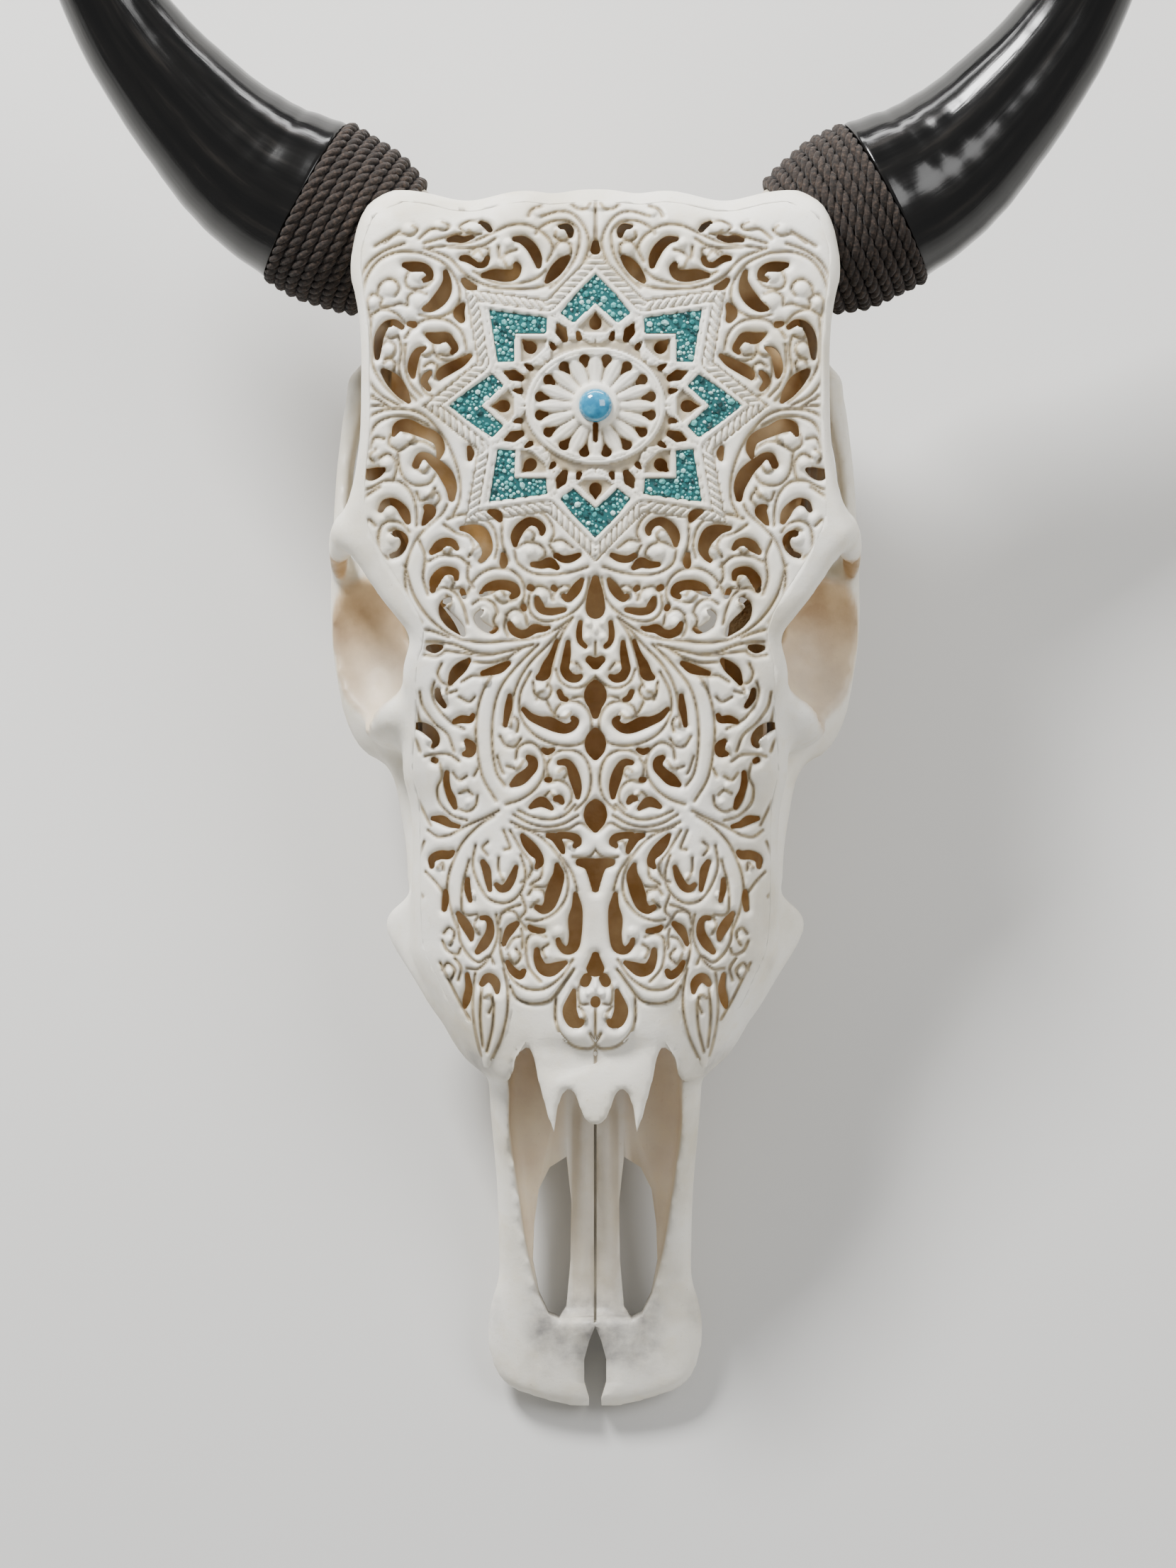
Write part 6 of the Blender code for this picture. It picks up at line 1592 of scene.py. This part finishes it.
def make_shell(materials, surface):
    """The carved roof of the skull as pierced shells, front to back."""
    x, y, floor = shell_grid(surface)
    openings, lines, knobs = carve_fields(x, y)
    wide_y = np.broadcast_to(y[:, None], x.shape)
    # Straps are rounded towards the openings and the cut lines beside them
    fall = STRAP_FALL * (1.0 - rounded(openings, STRAP_ROUNDING))
    height = -np.hypot(fall, LINE_FALL * (1.0 - rounded(lines, LINE_ROUNDING)))
    height = np.maximum(np.maximum(height, DEEPEST), np.where(openings > 0.0, knobs, NO_KNOB))
    height, inset = star_relief(x, wide_y, height)
    height = np.where(inset > 0.0, height - 1.2 * (1.0 - rounded(openings, 1.4)), height)
    # The heart and the two cartouches stand proud of the plain front of the nose
    heart = np.maximum(outline_distance(x, wide_y, HEART)[0], outline_distance(x, wide_y, CARTOUCHE)[0])
    front = softened(-wide_y, 70.0, 78.0)
    swag = outline_distance(x, wide_y, SWAG)[0]
    height += front * 1.9 * rounded(heart + 0.3, 2.2)
    height += softened(-wide_y, 58.0, 70.0) * 1.5 * rounded(swag + 0.2, 1.3) * (heart < -1.0)
    plain_front = softened(-wide_y, 86.0, 90.0)
    height = (1.0 - plain_front) * height + plain_front * np.maximum(height, 0.0)
    # The open trough of the muzzle, less the nasal tips over it
    trough = outline_distance(x, wide_y, [*TROUGH_EDGE, (0.0, -212.5), (0.0, -95.0)])[0]
    tips = outline_distance(x, wide_y, NASAL_TIP + ((30.0, -130.0), (30.0, -82.0)))[0]
    openings = np.minimum(openings, -np.minimum(trough, -tips) - 0.8)
    # The border sinks into the plain bone
    border = np.array([smooth_step(CARVED_STATIONS, place)[0] for place in y])[:, None]
    from_border = np.minimum(border + x, np.minimum(y - y[0], y[-1] - y)[:, None])
    height *= softened(from_border, 0.8, 3.6)
    # Painted shade that darkens the carving the deeper it lies, over the star's low ground and in the cut
    # lines, where brown dirt also sits
    dirt = softened(-height, 0.9, 2.6) * 0.5
    in_lines = 0.85 * (1.0 - softened(lines, 0.3, 1.1)) * (inset <= 0.0)
    dirt = np.maximum(dirt, in_lines * softened(from_border, 0.8, 2.4))
    in_star = np.where(inset > 0.0, softened(-height, 0.2, 1.6) * 0.75, 0.0)
    dirt = np.maximum(dirt, in_star)
    height += 0.1 - 0.9 * (1.0 - softened(from_border, 0.0, 1.6))
    height -= 0.5 * (1.0 - softened(y - y[0], 0.0, 8.0))[:, None]
    # Mirror the left half
    full_x = np.hstack((x, -x[:, -2::-1]))
    fields = {"z": floor + height, "base": floor - SHELL_THICKNESS, "dirt": dirt, "open": openings}
    full = {name: np.hstack((field, field[:, -2::-1])) for name, field in fields.items()}
    # Rims of the openings are pulled onto the opening's own outline
    gap = full["open"]
    rise_y, rise_x = np.gradient(gap)
    rise_x /= np.maximum(np.gradient(full_x, axis=1), 1e-6)
    rise_y /= y[1] - y[0]
    pull = np.where(gap < 0.0, np.maximum(gap, -1.0) / np.maximum(rise_x ** 2 + rise_y ** 2, 0.3), 0.0)
    full["x"] = full_x - pull * rise_x
    full["y"] = y[:, None] - pull * rise_y
    full["y"] = full["y"] - poll_dip(full["x"], full["y"])
    rows, columns = full_x.shape
    cuts = np.linspace(0, rows - 1, SHELL_PARTS + 1).astype(int)
    for part, (first, last) in enumerate(zip(cuts, cuts[1:]), start=1):
        make_shell_part(part, {name: field[first:last + 1] for name, field in full.items()}, materials)


def make_shell_part(part, fields, materials):
    """One stretch of the pierced shell, drawn down into a wall."""
    rows, columns = fields["z"].shape
    bm = bmesh.new()
    bmesh.ops.create_grid(bm, x_segments=columns - 1, y_segments=rows - 1, size=1.0)
    dirt = bm.verts.layers.float.new("dirt")
    base = bm.verts.layers.float.new("base")
    pierced = set()
    for vert in bm.verts:
        column = int(round((vert.co.x + 1.0) * 0.5 * (columns - 1)))
        row = int(round((vert.co.y + 1.0) * 0.5 * (rows - 1)))
        if fields["open"][row, column] < 0.0:
            pierced.add(vert)
        vert.co = (fields["x"][row, column], fields["y"][row, column], fields["z"][row, column])
        vert[dirt] = fields["dirt"][row, column]
        vert[base] = fields["base"][row, column]
    gone = [face for face in bm.faces if pierced.issuperset(face.verts)]
    bmesh.ops.delete(bm, geom=gone, context="FACES")
    tops = set(bm.faces)
    grown = bmesh.ops.extrude_face_region(bm, geom=list(tops), use_keep_orig=True)["geom"]
    for item in grown:
        if isinstance(item, bmesh.types.BMVert):
            item.co.z = item[base]
            item[dirt] = 0.0
    for face in bm.faces:
        face.material_index = 0 if face in tops else 1
    for edge in bm.edges:
        edge.smooth = len({face.material_index for face in edge.link_faces}) == 1
    shell = make_piece(bm, f"carved_roof_{part}")
    set_down(shell, materials, "bone", "skull")


# Horns, rope, stones and teeth


def horn_line(side, count):
    """Centre, direction and radius at even steps along a horn, with the distance from its rim."""
    start, stop = HORN_STATIONS[0][0], HORN_STATIONS[-1][0]
    stops = []
    for step in range(count):
        along = start + (stop - start) * (step / (count - 1)) ** 1.05
        x, y, z, radius = smooth_step(HORN_STATIONS, along)
        stops.append((along, Vector((x * -side, y, z)), radius))
    return stops


def make_horn(side, word, material):
    """One horn sheath, faintly ridged near its foot."""
    stops = horn_line(side, 120)
    _, axis = horn_foot(side)
    rings, reach, fibre = [], [], []
    sides = 72
    for index, (along, centre, radius) in enumerate(stops):
        heading = axis if index == 0 else stops[min(index + 1, len(stops) - 1)][1] - stops[index - 1][1]
        heading = heading.normalized()
        across = heading.cross(Vector((0.0, 0.0, 1.0))).normalized()
        lift = across.cross(heading).normalized()
        ripple = 1.0 + 0.006 * math.sin(along * 0.55) * math.exp(-along / 60.0)
        ripple += 0.004 * math.sin(along * 0.21)
        ring = []
        for turn in range(sides):
            angle = 2.0 * math.pi * turn / sides
            swell = radius * ripple * (1.0 + 0.012 * math.sin(3.0 * angle + along * 0.02))
            ring.append(centre + across * swell * math.cos(angle) + lift * swell * math.sin(angle))
            reach.append(along * 0.02)
            fibre.append(9.0 * (1.0 - abs(2.0 * turn / sides - 1.0)) * 2.0)
        rings.append(ring)
    bm = bmesh.new()
    skin_rings(bm, rings)
    horn = make_piece(bm, f"horn_sheath_{word}")
    paint(horn.data, "reach", reach)
    paint(horn.data, "fibre", fibre)
    set_down(horn, [material], "horn", f"horn_{word}")


def rope_radius(along):
    """Outer radius of the rope's rows at a distance along the horn's axis from its rim."""
    return smooth_step(ROPE_STATIONS, along)[0]


def make_rope(side, word, material):
    """A three-ply rope wound round the horn's root."""
    rim, axis = horn_foot(side)
    across = axis.cross(Vector((0.0, 0.0, 1.0))).normalized()
    lift = across.cross(axis).normalized()
    start, stop = ROPE_SPAN
    thick = ROPE_HALF_THICKNESS
    steps = 1300
    centres = []
    for step in range(steps + 1):
        share = step / steps
        # Each row lies level and climbs to the next one behind the horn
        row = min(int(ROPE_ROWS * share), ROPE_ROWS - 1)
        climb = float(softened(ROPE_ROWS * share - row, 0.85, 1.0)) if row < ROPE_ROWS - 1 else 0.0
        along = start + (stop - start) * (row + climb) / (ROPE_ROWS - 1)
        angle = math.radians(-63.0) + 2.0 * math.pi * ROPE_ROWS * share
        outwards = across * math.cos(angle) + lift * math.sin(angle)
        radius = rope_radius(along) - thick + 0.3 * math.sin(share * 61.0)
        centres.append((rim + axis * along + outwards * radius, outwards))
    twine = bpy.data.curves.new(f"rope_wrap_plies_{word}", "CURVE")
    twine.dimensions = "3D"
    twine.bevel_depth = thick * 0.56
    twine.bevel_resolution = 1
    twine.use_fill_caps = True
    for ply in range(3):
        spline = twine.splines.new("POLY")
        spline.points.add(steps)
        for step, (centre, outwards) in enumerate(centres):
            ahead = centres[min(step + 1, steps)][0] - centres[max(step - 1, 0)][0]
            beside = ahead.normalized().cross(outwards)
            twist = 2.0 * math.pi * (step / 11.5 + ply / 3.0)
            place = centre + (outwards * math.cos(twist) + beside * math.sin(twist)) * thick * 0.5
            spline.points[step].co = (*place, 1.0)
    wound = bpy.data.objects.new("wound", twine)
    bpy.context.scene.collection.objects.link(wound)
    depsgraph = bpy.context.evaluated_depsgraph_get()
    mesh = bpy.data.meshes.new_from_object(wound.evaluated_get(depsgraph), depsgraph=depsgraph)
    bpy.data.objects.remove(wound, do_unlink=True)
    bm = bmesh.new()
    bm.from_mesh(mesh)
    bmesh.ops.remove_doubles(bm, verts=bm.verts, dist=0.01)
    rope = make_piece(bm, f"rope_wrap_plies_{word}")
    # Painted shade: darker the further in from the rows' outer radius
    places = corner_array(rope.data) - np.array(rim)
    along = places @ np.array(axis)
    radius = np.linalg.norm(places - np.outer(along, np.array(axis)), axis=1)
    outer = np.interp(along, [row[0] for row in ROPE_STATIONS], [row[1] for row in ROPE_STATIONS])
    paint(rope.data, "crevice_shade", softened(outer - radius, 1.2, 3.6))
    set_down(rope, [material], "rope", f"rope_wrap_{word}")
    # A dark core, all in the painted crevice shade, that closes the view between the rows
    bm = bmesh.new()
    rings = []
    for along in (-0.8, -8.0, -16.0, -24.0, -32.0, -39.4):
        radius = rope_radius(along) - 2.6
        ring = []
        for turn in range(40):
            angle = 2.0 * math.pi * turn / 40
            ring.append(rim + axis * along + (across * math.cos(angle) + lift * math.sin(angle)) * radius)
        rings.append(ring)
    skin_rings(bm, rings)
    core = make_piece(bm, f"rope_core_{word}")
    paint(core.data, "crevice_shade", [1.0] * len(core.data.vertices))
    set_down(core, [material], "rope", f"rope_wrap_{word}")


def make_chips(index, material):
    """One chevron field filled with crushed stone."""
    rng = random.Random(40 + index)
    corners = chip_field(index)
    xs = [corner.x for corner in corners]
    ys = [corner.y for corner in corners]
    bm = bmesh.new()
    tone_layer = bm.verts.layers.float.new("tone")
    outline = [(corner.x, corner.y + STAR_Y) for corner in corners]
    add_prism(bm, outline, lambda x, y: face_height(x, y) - 2.9, lambda x, y: face_height(x, y) - 0.9)
    for vert in bm.verts:
        vert[tone_layer] = 0.12
    tries = []
    for _ in range(CHIP_TRIES):
        tries.append((rng.uniform(min(xs), max(xs)), rng.uniform(min(ys), max(ys)), rng.choice(CHIP_SIZES)))
    tried_x, tried_y, _ = np.array(tries).T
    inside, _ = outline_distance(tried_x, tried_y, corners)
    placed = []
    for (x, y, size), edge in zip(tries, inside):
        if edge < size * 0.45 or any(
                (x - other[0]) ** 2 + (y - other[1]) ** 2 < (CHIP_SPACING * (size + other[2])) ** 2
                for other in placed):
            continue
        placed.append((x, y, size))
        height = face_height(x, y + STAR_Y) - 1.0 + rng.uniform(-0.3, 0.4)
        tumble = Vector([rng.uniform(-1.0, 1.0) for _ in range(3)]).normalized()
        turn = Matrix.Rotation(rng.uniform(0.0, 2.0 * math.pi), 4, tumble)
        squash = Matrix.Diagonal((*(size * rng.uniform(low, high) for low, high in CHIP_SQUASH), 1.0))
        placing = Matrix.Translation((x, y + STAR_Y, height)) @ turn @ squash
        chip = bmesh.ops.create_icosphere(bm, subdivisions=1, radius=1.0, matrix=placing)
        tone = rng.choice(CHIP_TONES)
        for vert in chip["verts"]:
            vert[tone_layer] = tone
    field = make_piece(bm, f"crushed_stone_{index + 1}")
    set_down(field, [material], "crushed_turquoise", f"turquoise_inlay_{index + 1}")
    field.data.polygons.foreach_set("use_smooth", [False] * len(field.data.polygons))


def make_bead(material):
    """The bead, turned from a profile."""
    bm = bmesh.new()
    level = face_height(0.0, STAR_Y) + 1.1
    profile = [(BEAD_RADIUS - 1.3, -2.4)]
    for step in range(13):
        angle = math.radians(-20.0 + 110.0 * step / 12)
        profile.append((BEAD_RADIUS * math.cos(angle), 0.3 + 4.9 * math.sin(angle)))
    verts = [bm.verts.new((radius, STAR_Y, level + height)) for radius, height in profile]
    edges = [bm.edges.new(pair) for pair in zip(verts, verts[1:])]
    bmesh.ops.spin(bm, geom=verts + edges, cent=(0.0, STAR_Y, level), axis=(0.0, 0.0, 1.0),
                   dvec=(0.0, 0.0, 0.0), angle=2.0 * math.pi, steps=48, use_merge=True)
    bmesh.ops.remove_doubles(bm, verts=bm.verts, dist=0.01)
    bmesh.ops.holes_fill(bm, edges=bm.edges, sides=0)
    bead = make_piece(bm, "blue_bead_top")
    set_down(bead, [material], "bead", "turquoise_bead")


def make_teeth(material):
    """Folded cheek teeth with a worn crown."""
    for name, centre, half_width, half_length in tooth_places():
        bm = bmesh.new()
        skin_rings(bm, [
            tooth_ring(centre, half_width * share, half_length * share, height)
            for share, height in TOOTH_PROFILE
        ])
        tooth = make_piece(bm, name.replace("tooth", "cheek_tooth"))
        heights = corner_array(tooth.data)
        level = heights[:, 2] - np.array([rest_height(place) for place in heights[:, 1]])
        worn = (1.0 - softened(level, 0.3, 1.2)) * 0.4
        paint(tooth.data, "crown", worn + softened(level, 14.0, 20.0) * 0.5)
        set_down(tooth, [material], "tooth", name)


def make_stage():
    """A pale floor, soft lights and the camera."""
    plaster, _, _, _ = begin_material("pale_plaster_floor", Roughness=0.85, Base_Color=linear("#d3d2cf"))
    bm = bmesh.new()
    bmesh.ops.create_grid(bm, x_segments=1, y_segments=1, size=4.0)
    mesh = bpy.data.meshes.new("studio_floor")
    bm.to_mesh(mesh)
    bm.free()
    ground = bpy.data.objects.new("studio_floor", mesh)
    mesh.materials.append(plaster)
    bpy.context.scene.collection.objects.link(ground)

    world = bpy.data.worlds.new("studio")
    world.use_nodes = True
    world.node_tree.nodes["Background"].inputs["Color"].default_value = (1.0, 1.0, 1.0, 1.0)
    world.node_tree.nodes["Background"].inputs["Strength"].default_value = 0.38
    bpy.context.scene.world = world

    def lamp(name, place, aim, width, height, power):
        data = bpy.data.lights.new(name, "AREA")
        data.shape = "RECTANGLE"
        data.size = width
        data.size_y = height
        data.energy = power
        light = bpy.data.objects.new(name, data)
        light.location = place
        light.rotation_euler = (Vector(aim) - Vector(place)).to_track_quat("-Z", "Y").to_euler()
        bpy.context.scene.collection.objects.link(light)

    lamp("key_light", (-0.9, 1.35, 1.5), (0.0, 0.0, 0.1), 0.6, 0.6, 98.0)
    lamp("rim_light", (0.0, 1.5, 0.5), (0.0, 0.3, 0.12), 2.4, 0.16, 24.0)
    lamp("fill_light", (1.3, 0.2, 1.9), (0.0, 0.0, 0.1), 1.2, 1.2, 26.0)

    # The camera looks square onto the face, from far enough for little perspective
    middle = PLACE @ Vector((-3.0, 8.86, 0.0))
    away = (PLACE.to_3x3() @ Vector((0.0, 0.0, 1.0))).normalized()
    distance = 2.2
    data = bpy.data.cameras.new("camera")
    data.sensor_fit = "VERTICAL"
    data.sensor_height = 24.0
    frame_height = 2212.0 / 3.5 * MM
    data.lens = data.sensor_height * distance / frame_height
    camera = bpy.data.objects.new("camera", data)
    camera.location = middle + away * distance
    camera.rotation_euler = (REST_TILT, 0.0, 0.0)
    bpy.context.scene.collection.objects.link(camera)
    bpy.context.scene.camera = camera


def main():
    """Dress the frame."""
    bone, cut_bone = bone_finish(), cut_bone_finish()
    horn, rope = horn_finish(), rope_finish()
    skull = grow_bone()
    make_shell([bone, cut_bone], BVHTree.FromObject(skull, bpy.context.evaluated_depsgraph_get()))
    fit_bone(skull, [bone])
    for side, word in ((-1.0, "left"), (1.0, "right")):
        make_horn(side, word, horn)
        make_rope(side, word, rope)
    chips = chip_finish()
    for index in range(STAR_POINTS):
        make_chips(index, chips)
    make_bead(bead_finish())
    make_teeth(tooth_finish())
    make_stage()


main()
